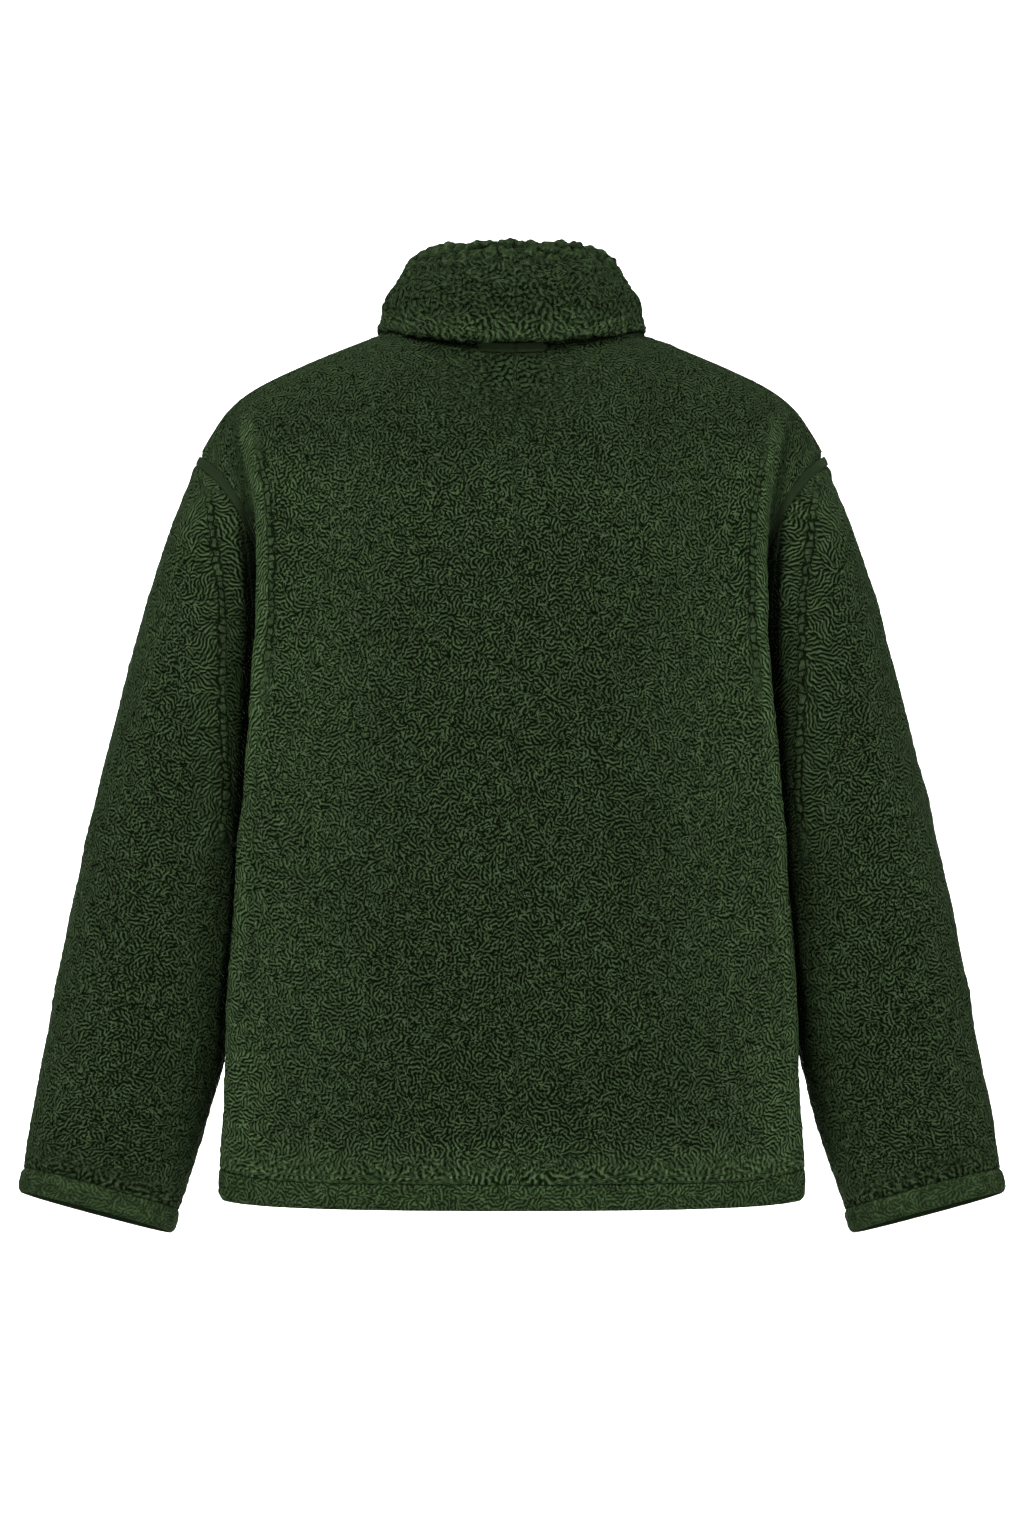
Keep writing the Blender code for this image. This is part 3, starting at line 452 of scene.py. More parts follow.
def bodySection(z, turn, isBack):
    angle = np.radians(90 * turn)
    side = smoothColumn(body, "z", "sideX", z)
    depth = smoothColumn(body, "z", "backY" if isBack else "frontY", z)
    x = side * np.sin(angle) ** form["bodyRound"]
    y = depth * np.cos(angle) ** form["bodyRound"]
    forward = form["sideForward"] * turn**4
    if isBack:
        plain = side * math.sin(math.radians(form["foldAngle"])) ** form["bodyRound"]
        swell = smoothColumn(body, "z", "foldX", z) - plain
        return x + swell * bell(90 * turn - form["foldAngle"], form["foldWidth"]), y - forward
    return form["frontEdge"] + x * (1 - form["frontEdge"] / side), -y - forward


def neckSeam(turn, isBack):
    angle = np.radians(90 * np.asarray(turn, dtype=float))
    depth, height = form["neckBack"] if isBack else form["neckFront"]
    x = form["neckHalfWidth"] * np.sin(angle)
    if not isBack:
        x = form["frontEdge"] + x * (1 - form["frontEdge"] / form["neckHalfWidth"])
    return np.stack([x, depth * np.cos(angle), height * np.cos(angle) ** form["neckHollow"]], axis=-1)


def topEdge(columns, isBack):
    seamX = np.linspace(form["neckHalfWidth"], shoulderSeam["x"][-1], 200)
    seam = np.stack([seamX, 0 * seamX, smoothColumn(shoulderSeam, "x", "z", seamX)], axis=1)
    share = form["neckColumn"]
    shoulder = along(seam, np.clip((columns - share) / (1 - share), 0, 1))
    neck = neckSeam(np.clip(columns / share, 0, 1), isBack)
    return np.where((columns < share)[:, None], neck, shoulder)


def softTop(columns, isBack):
    total = 0
    start = 0.0 if isBack else form["frontEdge"]
    shifts = np.linspace(-form["topSoftness"], form["topSoftness"], 9)
    for shift in shifts:
        at = columns + shift
        point = topEdge(np.clip(np.abs(at), 0, 1), isBack)
        point[:, 0] = np.where(at < 0, 2 * start - point[:, 0], point[:, 0])
        past = 2 * topEdge(np.ones(1), isBack) - topEdge(np.clip(2 - at, 0, 1), isBack)
        total = total + np.where((at > 1)[:, None], past, point)
    return total / len(shifts)


def hemRise(x):
    # the hem seam runs up a little towards the side folds
    return form["hemRise"] * np.clip((np.abs(x) - form["hemLevel"]) / form["hemRun"], 0, 1.1) ** 3


def halfPanel(columns, isBack):
    # half the back or one front: rows from the hem up, columns from the centre out
    lowRows, highRows = panels["lowRows"], panels["highRows"]
    low = []
    hemZ = body["z"][0]
    for z in np.linspace(hemZ, form["underarmZ"], lowRows + 1)[:-1]:
        x, y = bodySection(z, columns, isBack)
        low.append(np.stack([x, y, z + hemRise(x) * fade(z, hemZ + 0.09, hemZ)], axis=1))
    baseX, baseY = bodySection(form["underarmZ"], columns, isBack)
    top = topEdge(columns, isBack)
    soft = softTop(columns, isBack)
    armhole = armholeBack if isBack else armholeFront
    rise = np.linspace(0, 1, 160)
    edge = spline(np.stack([armhole["x"], armhole["y"], armhole["z"]], axis=1), rise)

    def rolled(i):
        over = 1 + fade(columns[i], 0, form["neckColumn"])
        lift = np.sin(rise * math.pi / 2) ** form["topRound"]
        drop = np.cos(rise * math.pi / 2) ** (2 / over)
        goal = soft[i] + (top[i] - soft[i]) * lift[:, None] ** 6
        x = baseX[i] + (goal[:, 0] - baseX[i]) * lift**1.5
        y = goal[:, 1] + (baseY[i] - goal[:, 1]) * drop
        z = form["underarmZ"] + (goal[:, 2] - form["underarmZ"]) * lift
        return along(np.stack([x, y, z], axis=1), rise)

    last = rolled(len(columns) - 1)
    share = np.linspace(0, 1, highRows + 1)
    high = [along(rolled(i) + columns[i] ** 5 * (edge - last), share) for i in range(len(columns))]
    grid = np.concatenate([np.array(low), np.stack(high, axis=1)], axis=0)
    if isBack:
        z = grid[..., 2]
        beyond = grid[..., 0] - smoothColumn(backFold, "z", "edgeX", z)
        ridge = smoothColumn(backFold, "z", "ridge", z) * bell(beyond - form["ridge"], form["ridgeWidth"])
        trough = smoothColumn(backFold, "z", "trough", z)
        trough = trough * bell(beyond - form["trough"], form["troughWidth"])
        free = fade(columns, 1, 0.84)
        belowSeam = np.concatenate([np.ones(lowRows), fade(share, 1, 0.72)])
        grid[..., 1] += (ridge - trough) * free[None, :] * belowSeam[:, None]
    return grid


def sleeveGrid(back, front):
    # rows from the armhole to the cuff, columns round from the top by the back
    highRows = panels["highRows"]
    start = len(back) - 1 - highRows
    loop = np.concatenate([back[start:, -1][::-1], front[start + 1 :, -1]], axis=0)[:-1]
    angle = np.radians(np.arange(2 * highRows) * 180 / highRows)
    roundOut = np.sign(np.cos(angle)) * np.abs(np.cos(angle)) ** form["sleeveRound"]
    roundBack = np.sign(np.sin(angle)) * np.abs(np.sin(angle)) ** form["sleeveRound"]
    inward = (1 - np.cos(angle)) / 2
    keys = [loop]
    for i in range(len(sleeveForm["outerX"])):
        outer = np.array([sleeveForm["outerX"][i], sleeveForm["outerZ"][i]])
        inner = np.array([sleeveForm["innerX"][i], sleeveForm["innerZ"][i]])
        flat = (outer + inner) / 2 + roundOut[:, None] * (outer - inner) / 2
        tuck = sleeveForm["tuck"][i] * inward**1.5 * (roundBack > 0)
        y = sleeveForm["middleY"][i] + sleeveForm["halfDepth"][i] * roundBack * (1 - tuck)
        z = flat[:, 1] + sleeveForm["hang"][i] * (y - sleeveForm["middleY"][i])
        keys.append(np.stack([flat[:, 0], y, z], axis=1))
    keys = np.array(keys)
    shares = np.linspace(0, 1, panels["sleeveRows"] + 1)
    return np.stack([spline(keys[:, j], shares) for j in range(len(loop))], axis=1)


def newGroup(name, inputs, outputs, outputKind="Float"):
    # an input without a value is a vector, a number is a float, and four numbers are a colour
    group = bpy.data.node_groups.new(name, "ShaderNodeTree")
    kinds = {type(None): "Vector", float: "Float", tuple: "Color"}
    for label, value in inputs.items():
        kind = "NodeSocket" + kinds[type(value)]
        socket = group.interface.new_socket(name=label, in_out="INPUT", socket_type=kind)
        if value is not None:
            socket.default_value = value
    for label in outputs.split():
        group.interface.new_socket(name=label, in_out="OUTPUT", socket_type="NodeSocket" + outputKind)
    return group, group.nodes.new("NodeGroupInput").outputs, group.nodes.new("NodeGroupOutput").inputs


def addNode(tree, kind, inputs, **settings):
    node = tree.nodes.new("ShaderNode" + kind)
    for key, value in settings.items():
        setattr(node, key, value)
    for key, value in inputs.items():
        if isinstance(value, bpy.types.NodeSocket):
            tree.links.new(value, node.inputs[key])
        else:
            node.inputs[key].default_value = value
    return node


def calc(tree, operation, *values, clamp=False):
    return addNode(tree, "Math", dict(enumerate(values)), operation=operation, use_clamp=clamp).outputs[0]


def times(tree, first, second):
    return calc(tree, "MULTIPLY", first, second)


def plus(tree, first, second, clamp=False):
    return calc(tree, "ADD", first, second, clamp=clamp)


def minus(tree, first, second):
    return calc(tree, "SUBTRACT", first, second)


def vecCalc(tree, operation, *values):
    return addNode(tree, "VectorMath", dict(enumerate(values)), operation=operation).outputs[0]


def scaled(tree, vector, amount):
    return addNode(tree, "VectorMath", {0: vector, "Scale": amount}, operation="SCALE").outputs[0]


def softStep(tree, value, low, high, start=0.0, end=1.0):
    inputs = {0: value, 1: low, 2: high, 3: start, 4: end}
    return addNode(tree, "MapRange", inputs, interpolation_type="SMOOTHSTEP").outputs[0]


def noise(tree, vector, scale, detail, flat=True):
    inputs = {"Vector": vector, "Scale": scale, "Detail": detail}
    return addNode(tree, "TexNoise", inputs, noise_dimensions="2D" if flat else "3D")


def mixValue(tree, factor, first, second):
    return addNode(tree, "Mix", {0: factor, 2: first, 3: second}).outputs[0]


def mixColour(tree, factor, first, second):
    # each colour is a socket or a linear colour
    return addNode(tree, "Mix", {0: factor, 6: first, 7: second}, data_type="RGBA").outputs[2]


def buildCurlGroup():
    # pile curls: round worm-like ridges of one width with narrow grooves between them
    inputs = {"Vector": None, "Curl": 0.0038, "Warp": 0.8, "Run": 1.8, "Straight": 0.2}
    inputs.update({"Lay": 0.0, "Laid": 0.0})
    group, put, out = newGroup("pileCurls", inputs, "Height Crest Fibre Clump")
    perMetre = calc(group, "DIVIDE", 1.0, put["Curl"])
    # two slow noises bend the ridges and turn them, less where the pile is laid down
    drift = noise(group, put["Vector"], times(group, perMetre, 0.42), 1.0)
    shift = vecCalc(group, "SUBTRACT", drift.outputs["Color"], (0.5, 0.5, 0.5))
    reach = times(group, put["Curl"], put["Warp"])
    bent = vecCalc(group, "ADD", put["Vector"], scaled(group, shift, reach))
    swirl = noise(group, put["Vector"], times(group, perMetre, 0.14), 1.2)
    turn = minus(group, 12.0, times(group, put["Laid"], 9.2))
    wander = times(group, minus(group, swirl.outputs[0], 0.5), turn)
    angle = plus(group, put["Lay"], wander)
    rest = times(group, minus(group, 1.0, put["Straight"]), 0.5)
    straight = plus(group, put["Straight"], times(group, put["Laid"], rest))
    scale = calc(group, "DIVIDE", perMetre, put["Run"])
    curls = addNode(
        group,
        "TexGabor",
        {"Vector": bent, "Scale": scale, "Frequency": put["Run"], "Anisotropy": straight, 4: angle},
        gabor_type="2D",
    )
    wave = calc(group, "COSINE", times(group, curls.outputs["Phase"], 2 * math.pi))
    strong = softStep(group, curls.outputs["Intensity"], 0.0, 0.25, 0.35, 1.0)
    ridges = times(group, wave, strong)
    fibre = noise(group, put["Vector"], times(group, perMetre, 6.0), 2.0)
    group.links.new(softStep(group, ridges, -1.0, 0.2), out["Height"])
    group.links.new(softStep(group, ridges, 0.15, 1.0), out["Crest"])
    group.links.new(fibre.outputs[0], out["Fibre"])
    clump = noise(group, bent, times(group, perMetre, 0.42), 1.0)
    group.links.new(softStep(group, clump.outputs[0], 0.28, 0.72), out["Clump"])


def buildRowGroup():
    # a parting: a row of round curls between two grooves, a little crooked
    inputs = {"Vector": None, "Part": 0.0, "Along": 0.0, "Width": 0.0024, "Length": 0.0066}
    group, put, out = newGroup("curlRow", inputs, "Groove Row")
    crooked = minus(group, noise(group, put["Vector"], 130.0, 2.0).outputs[0], 0.5)
    fromLine = plus(group, put["Part"], times(group, crooked, 0.007))
    fromLine = calc(group, "ABSOLUTE", fromLine)
    beside = calc(group, "ABSOLUTE", minus(group, fromLine, put["Width"]))
    row = softStep(group, minus(group, fromLine, put["Width"]), 0.0, 0.0004, 1.0, 0.0)
    uneven = times(group, noise(group, put["Vector"], 60.0, 1.0).outputs[0], 1.6)
    count = plus(group, calc(group, "DIVIDE", put["Along"], put["Length"]), uneven)
    across = calc(group, "ABSOLUTE", minus(group, calc(group, "FRACT", count), 0.5))
    across = times(group, softStep(group, across, 0.05, 0.18, 1.0, 0.0), row)
    groove = calc(group, "MAXIMUM", softStep(group, beside, 0.0003, 0.0012, 1.0, 0.0), across)
    group.links.new(groove, out["Groove"])
    group.links.new(row, out["Row"])


def buildMottleGroup():
    # slow, uneven change of a dyed cloth's colour
    inputs = {"Vector": None, "Color": (0.5, 0.5, 0.5, 1), "Size": 0.05, "Amount": 0.2}
    group, put, out = newGroup("dyeMottle", inputs, "Color", "Color")
    perMetre = calc(group, "DIVIDE", 1.0, put["Size"])
    wide = noise(group, put["Vector"], perMetre, 3.0, flat=False)
    close = noise(group, put["Vector"], times(group, perMetre, 7.0), 2.0, flat=False)
    both = times(group, wide.outputs[0], 0.65)
    both = plus(group, both, times(group, close.outputs[0], 0.35))
    amount = times(group, put["Amount"], 4.0)
    swing = times(group, minus(group, both, 0.5), amount)
    value = plus(group, 1.0, swing)
    toned = addNode(group, "HueSaturation", {"Value": value, "Color": put["Color"]})
    group.links.new(toned.outputs[0], out["Color"])


def buildKnitGroup():
    # fine rows of knit or weave: threads along and across
    inputs = {"Vector": None, "Along": 0.0011, "Across": 0.0008, "Uneven": 0.3}
    group, put, out = newGroup("fineKnit", inputs, "Height Thread")
    wobble = noise(group, put["Vector"], 260.0, 2.0)
    shift = vecCalc(group, "SUBTRACT", wobble.outputs["Color"], (0.5, 0.5, 0.5))
    amount = times(group, put["Uneven"], 0.002)
    moved = vecCalc(group, "ADD", put["Vector"], scaled(group, shift, amount))
    parts = addNode(group, "SeparateXYZ", {0: moved})
    waves = []
    for label, size in ((0, "Along"), (1, "Across")):
        turn = calc(group, "DIVIDE", times(group, parts.outputs[label], 2 * math.pi), put[size])
        waves.append(calc(group, "SINE", turn))
    cross = times(group, waves[0], waves[1])
    height = calc(group, "MULTIPLY_ADD", cross, 0.5, 0.5)
    group.links.new(height, out["Height"])
    group.links.new(softStep(group, height, 0.2, 0.8), out["Thread"])


def startMaterial(name, roughness, specular, metallic=0.0, sheen=None):
    # sheen is its weight, roughness and tint
    made = bpy.data.materials.new(name)
    made.use_nodes = True
    shader = made.node_tree.nodes["Principled BSDF"]
    shader.inputs["Roughness"].default_value = roughness
    shader.inputs["Specular IOR Level"].default_value = specular
    shader.inputs["Metallic"].default_value = metallic
    if sheen:
        shader.inputs["Sheen Weight"].default_value = sheen[0]
        shader.inputs["Sheen Roughness"].default_value = sheen[1]
        shader.inputs["Sheen Tint"].default_value = (*sheen[2], 1)
    return made, made.node_tree, shader


def dress(tree, shader, colour, height, depth, strength):
    # colour and a bump from height, depth metres deep
    tree.links.new(colour, shader.inputs["Base Color"])
    bump = addNode(tree, "Bump", {"Height": height, "Distance": depth, "Strength": strength})
    tree.links.new(bump.outputs[0], shader.inputs["Normal"])


def placeGroup(tree, name, **values):
    return addNode(tree, "Group", values, node_tree=bpy.data.node_groups[name]).outputs


def ramp(tree, factor, *stops):
    node = addNode(tree, "ValToRGB", {"Fac": factor})
    while len(node.color_ramp.elements) < len(stops):
        node.color_ramp.elements.new(0.5)
    for element, (place, colour) in zip(node.color_ramp.elements, stops):
        element.position = place
        element.color = (*colour, 1)
    return node.outputs[0]


pileLook = {
    "groove": (0.0018, 0.0052, 0.0008),  # linear colours from the gaps between the curls to their tips: painted shade in the gaps, painted highlights on the tips
    "side": (0.0150, 0.0275, 0.0098),
    "crest": (0.0650, 0.1000, 0.0475),
    "deep": (0.0003, 0.0010, 0.0002),  # painted shadow in the gap behind the fold
    "ground": (0.0160, 0.0270, 0.0110),  # the knit of the inside
    "curl": 0.0032,  # metres across a curl, small on the panels and big at the edges
    "bigCurl": 0.0048,
    "straight": 0.42,  # how much the curls run one way
    "bigStraight": 0.12,
    "warp": 0.5,
    "run": 2.2,
    "clump": 0.48,
    "mottle": 0.16,
    "depth": 0.0015,
    "crestShare": 0.75,
    "hair": 0.30,  # how much single hairs lighten the colour, and how much raised tufts lighten it as painted light
    "raised": 0.45,
    "row": 0.0024,  # half the width of a parting's row, and the length of its curls
    "rowLength": 0.0066,
    "sheen": (0.15, 0.2, (0.42, 0.74, 0.31)),
}
# the band's lower pile: the same painted shade in the grooves and painted highlights on the crests, softer
clippedLook = dict(pileLook, depth=0.0005, bigCurl=0.0040, groove=(0.0060, 0.0130, 0.0036), crestShare=0.51)


def makePile(name, look):
    made, tree, shader = startMaterial(name, 0.9, 0.03, sheen=look["sheen"])
    place = addNode(tree, "UVMap", {}, uv_map="cloth").outputs[0]
    where = addNode(tree, "TexCoord", {}).outputs["Object"]
    labels = ("inside", "lay", "laid", "big", "deep", "relief", "part", "parted", "paintedShading", "lumpy")
    mark = {n: addNode(tree, "Attribute", {}, attribute_name=n).outputs["Fac"] for n in labels}

    # curls of two sizes
    common = {"Vector": place, "Warp": look["warp"], "Run": look["run"]}
    common.update({"Lay": mark["lay"], "Laid": mark["laid"]})
    small = placeGroup(tree, "pileCurls", Curl=look["curl"], Straight=look["straight"], **common)
    large = placeGroup(tree, "pileCurls", Curl=look["bigCurl"], Straight=look["bigStraight"], **common)
    height = mixValue(tree, mark["big"], small["Height"], large["Height"])
    crest = mixValue(tree, mark["big"], small["Crest"], large["Crest"])
    height = mixValue(tree, mark["lumpy"], height, 0.62)
    crest = mixValue(tree, mark["lumpy"], crest, 0.30)

    # the row of curls in a parting stands up between its grooves: a bump, with painted highlight on the row
    # and painted shade in the grooves
    up = addNode(tree, "SeparateXYZ", {0: where}).outputs[2]
    sizes = {"Width": look["row"], "Length": look["rowLength"]}
    parting = placeGroup(tree, "curlRow", Vector=place, Part=mark["part"], Along=up, **sizes)
    onRow = times(tree, parting["Row"], mark["parted"])
    groove = times(tree, parting["Groove"], times(tree, mark["parted"], 0.95))
    aboveGroove = minus(tree, 1.0, groove)
    height = mixValue(tree, times(tree, onRow, 0.8), height, 1.0)
    crest = mixValue(tree, times(tree, onRow, 0.6), crest, 0.75)
    height = times(tree, height, aboveGroove)
    crest = times(tree, crest, aboveGroove)
    # painted light and shade from the relief mark: brighter crests on raised curls and tufts, duller ones in
    # the cracks
    crest = times(tree, crest, plus(tree, 1.45, mark["relief"], clamp=True))

    # colour by height: painted shade in the grooves, painted highlights on the crests and painted light on
    # the highest pile
    hair = times(tree, minus(tree, small["Fibre"], 0.5), look["hair"])
    raised = times(tree, mark["relief"], look["raised"])
    tone = plus(tree, plus(tree, height, hair), raised, clamp=True)
    middle = tuple(0.45 * a + 0.55 * b for a, b in zip(look["groove"], look["side"]))
    top = tuple(1.35 * c for c in look["side"])
    colour = ramp(tree, tone, (0.0, look["groove"]), (0.35, middle), (0.7, look["side"]), (1.0, top))
    colour = mixColour(tree, times(tree, crest, look["crestShare"]), colour, (*look["crest"], 1))
    # painted light and shade: the paintedShading mark scales the colour, and clumps that stand higher are
    # painted lighter
    clump = times(tree, minus(tree, small["Clump"], 0.5), look["clump"])
    bright = times(tree, plus(tree, 1.0, mark["paintedShading"]), plus(tree, 1.0, clump))
    colour = scaled(tree, colour, bright)
    colour = placeGroup(tree, "dyeMottle", Vector=where, Color=colour, Size=0.06, Amount=look["mottle"])[0]
    knit = placeGroup(tree, "fineKnit", Vector=place, Along=0.0016, Across=0.0012, Uneven=0.4)
    between = tuple(0.6 * c for c in look["ground"])
    ground = mixColour(tree, knit["Thread"], (*between, 1), (*look["ground"], 1))
    colour = mixColour(tree, mark["inside"], colour, ground)
    # painted shadow: near black where the deep mark lies, beside the body's fold
    colour = mixColour(tree, mark["deep"], colour, (*look["deep"], 1))

    pileHeight = plus(tree, height, times(tree, small["Fibre"], 0.16))
    longer = plus(tree, 1.0, times(tree, mark["big"], 0.8))
    pileHeight = times(tree, pileHeight, longer)
    pileHeight = plus(tree, pileHeight, times(tree, small["Clump"], 0.5))
    rise = mixValue(tree, mark["inside"], pileHeight, times(tree, knit["Height"], 0.2))
    dress(tree, shader, colour, rise, look["depth"], 1.0)
    return made


tapeLook = {
    "dark": (0.0110, 0.0205, 0.0072),
    "light": (0.0250, 0.0410, 0.0175),
    "along": 0.0013,
    "across": 0.0009,
    "depth": 0.0003,
    # deep is near black: painted shadow behind the fold, and the neck tape's dark join
    "deep": (0.0003, 0.0010, 0.0002),
    "sheen": (0.13, 0.22, (0.45, 0.75, 0.35)),
}
# the neck tape: the seam tape made lighter, painted light on a tape that lies in the collar's shadow
litNeckTapeLook = dict(tapeLook, dark=(0.0290, 0.0500, 0.0185), light=(0.0560, 0.0850, 0.0390))
zipTapeLook = dict(tapeLook, dark=(0.0070, 0.0120, 0.0056), light=(0.0150, 0.0230, 0.0120))
zipTapeLook.update({"along": 0.0010, "across": 0.0014})


def makeTape(name, look):
    made, tree, shader = startMaterial(name, 0.85, 0.06, sheen=look["sheen"])
    place = addNode(tree, "UVMap", {}, uv_map="cloth").outputs[0]
    where = addNode(tree, "TexCoord", {}).outputs["Object"]
    threads = {"Along": look["along"], "Across": look["across"]}
    knit = placeGroup(tree, "fineKnit", Vector=place, Uneven=0.35, **threads)
    fluff = noise(tree, place, 900.0, 3.0).outputs[0]
    weight = times(tree, knit["Height"], 0.6)
    weight = plus(tree, weight, times(tree, fluff, 0.5), clamp=True)
    colour = ramp(tree, weight, (0.15, look["dark"]), (0.85, look["light"]))
    colour = placeGroup(tree, "dyeMottle", Vector=where, Color=colour, Size=0.03, Amount=0.14)[0]
    # painted shadow beside the body's fold, and the neck tape's dark join, from the deep mark
    deep = addNode(tree, "Attribute", {}, attribute_name="deep").outputs["Fac"]
    colour = mixColour(tree, deep, colour, (*look["deep"], 1))
    rise = plus(tree, knit["Height"], times(tree, fluff, 0.7))
    dress(tree, shader, colour, rise, look["depth"], 0.8)
    return made


teethLook = {
    "roughness": (0.32, 0.42, 0.52),  # least, plain and most
    "specular": 0.45,
    "metallic": 0.0,
    "dark": (0.0075, 0.0125, 0.0065),
    "light": (0.0140, 0.0215, 0.0120),
    "cloud": 420.0,  # clouds of colour, and scuffs that also dull and dent the face
    "scuff": 420.0,
    "scuffDetail": 4.0,
    "stretch": (1.0, 1.0, 1.0),
    "depth": 0.0001,
    "strength": 0.4,
}
metalLook = {
    "roughness": (0.28, 0.38, 0.50),
    "specular": 0.5,
    "metallic": 0.85,
    "dark": (0.030, 0.034, 0.028),
    "light": (0.060, 0.064, 0.052),
    "cloud": 260.0,
    "scuff": 900.0,
    "scuffDetail": 3.0,
    "stretch": (1.0, 1.0, 6.0),
    "depth": 0.00005,
    "strength": 0.5,
}


def makeHard(name, look):
    least, plain, most = look["roughness"]
    made, tree, shader = startMaterial(name, plain, look["specular"], look["metallic"])
    where = addNode(tree, "TexCoord", {}).outputs["Object"]
    cloud = noise(tree, where, look["cloud"], 4.0, flat=False).outputs[0]
    stretched = vecCalc(tree, "MULTIPLY", where, look["stretch"])
    scuff = noise(tree, stretched, look["scuff"], look["scuffDetail"], flat=False).outputs[0]
    colour = ramp(tree, cloud, (0.35, look["dark"]), (0.7, look["light"]))
    tree.links.new(softStep(tree, scuff, 0.3, 0.7, least, most), shader.inputs["Roughness"])
    dress(tree, shader, colour, scuff, look["depth"], look["strength"])
    return made


buildCurlGroup()
buildRowGroup()
buildMottleGroup()
buildKnitGroup()
pile = makePile("pileFleece", pileLook)
clipped = makePile("clippedFleece", clippedLook)
seamTape = makeTape("seamTape", tapeLook)
neckTape = makeTape("neckTape", litNeckTapeLook)
zipTape = makeTape("zipTape", zipTapeLook)
teeth = makeHard("zipTeeth", teethLook)
metal = makeHard("darkMetal", metalLook)
print("materials made")

# the panels: grids of the pile's outer face, then lumps, folds and the dips beside the tapes
panels = {
    "neckSteps": 52,  # columns from the centre to the shoulder seam, and along that seam
    "shoulderSteps": 84,
    "lowRows": 188,  # rows below and above the underarm
    "highRows": 106,
    "sleeveRows": 226,
    "coarse": 4,  # the inner face has one point for so many of the outer face's
    "sleeveAxis": np.array([0.232, -0.045, -0.972]),
    "lump": 0.0078,  # tufts of pile, and slow waves of the cloth
    "lumpHeight": 0.00024,
    "wave": 0.030,
    "waveHeight": 0.0010,
    "calm": 0.006,  # no lumps so near a seam
    "tapeDip": 0.0012,  # how deep the pile dips under a tape and swells beside it
    "tapeSwell": 0.0012,
    "backDip": 0.0037,  # how far from the seam each dip reaches
    "frontDip": 0.0043,
    "neckDip": 0.0040,
    "frontEdgeDip": 0.0016,
    "hemZ": -0.649,
    "hemCurls": 0.016,  # how high the bigger curls reach over the hem and the cuffs
    "cuffCurls": 0.014,
    "row": 0.0125,  # the row of curls beside the fold of the back: how far from it and how wide
    "rowWidth": 0.0030,
    "inset": 3,  # rows from a seam, where the cloth beside it is looked up
}
# soft creases, the same left and right: lines of x and z with their height over the cloth
bodyCreases = [
    {
        "line": [(0.1880, -0.080), (0.1900, -0.140), (0.1870, -0.230), (0.1900, -0.300)],
        "width": 0.0055,
        "height": -0.0012,
    },
    {"line": [(0.1990, -0.250), (0.1960, -0.340), (0.2010, -0.420)], "width": 0.012, "height": 0.0020},
]
sleeveCreases = [
    {
        "line": [(0.2330, -0.118), (0.2230, -0.205), (0.2240, -0.277), (0.2210, -0.357), (0.2255, -0.387)],
        "width": 0.007,
        "height": 0.0026,
    },
    {"line": [(0.2920, -0.283), (0.3000, -0.350)], "width": 0.010, "height": -0.0012},
]


def lineDistance(points, line):
    # the same line on the left and the right
    flat = np.stack([np.abs(points[..., 0]), points[..., 2]], axis=-1)
    best = np.full(flat.shape[:-1], 1e9)
    for a, b in zip(line[:-1], line[1:]):
        a, b = np.array(a), np.array(b)
        t = np.clip(((flat - a) @ (b - a)) / ((b - a) @ (b - a)), 0, 1)
        best = np.minimum(best, np.linalg.norm(flat - a - t[..., None] * (b - a), axis=-1))
    return best


def lineBeside(points, line):
    # signed distance: below 0 towards the body, above 0 towards the outside
    z = points[..., 2]
    order = np.array(line)[::-1]
    return np.abs(points[..., 0]) - np.interp(z, order[:, 1], order[:, 0])


def creased(grid, normals, creases):
    total = np.zeros(grid.shape[:-1])
    for crease in creases:
        total += crease["height"] * bell(lineDistance(grid, crease["line"]), crease["width"])
    return total * fade(normals[..., 1], 0, 0.5)


# painted shade on the cloth just beyond the body's fold, fading out over its width
def foldShade(points):
    column = {n: smoothColumn(besideFold, "z", n, points[..., 2]) for n in ("edgeX", "wide", "soft", "dark")}
    beyond = np.abs(points[..., 0]) - column["edgeX"]
    far = fade(beyond, column["wide"] + column["soft"], column["wide"])
    return column["dark"] * fade(beyond, -0.0006, 0.0008) * far


def besideTape(distance, halfTape):
    # dips under a tape and swells beside it
    dip = -panels["tapeDip"] * fade(distance, halfTape + 0.0015, halfTape - 0.001)
    swell = panels["tapeSwell"] * bell(distance - halfTape - 0.005, 0.0045)
    return dip + swell


def pileLumps(grid, seed):
    lumps = panels["lumpHeight"] * curlNoise(grid, panels["lump"], seed)
    return lumps + panels["waveHeight"] * latticeNoise(grid, panels["wave"], seed + 5)


neck = np.linspace(0, form["neckColumn"], panels["neckSteps"] + 1)
shoulder = np.linspace(0, 1, panels["shoulderSteps"] + 1) ** 0.85
shoulder = form["neckColumn"] + (1 - form["neckColumn"]) * shoulder
columns = np.concatenate([neck, shoulder[1:]])
backHalf = halfPanel(columns, True)
frontHalf = halfPanel(columns, False)
backHalf[: panels["lowRows"], -1] = frontHalf[: panels["lowRows"], -1]
sleeveHalf = sleeveGrid(backHalf, frontHalf)
wholeBack = np.concatenate([mirrored(backHalf)[:, :0:-1], backHalf], axis=1)[:, ::-1]
print("form made", wholeBack.shape, sleeveHalf.shape)


def addPanel(name, grid, normals, lift, marks, wrap=False, reach=None):
    outer = grid + normals * lift[..., None]
    inner = grid - normals * form["cloth"]
    addCloth(name, outer, inner, panels["coarse"], pile, wrap, marks, reach)


def calm(edge):
    # no lumps at a seam
    return fade(edge, 0, panels["calm"])


lowRows = panels["lowRows"]
half = len(columns)
byArmhole = fade(np.arange(len(wholeBack)), lowRows - 12, lowRows + 12)[:, None]

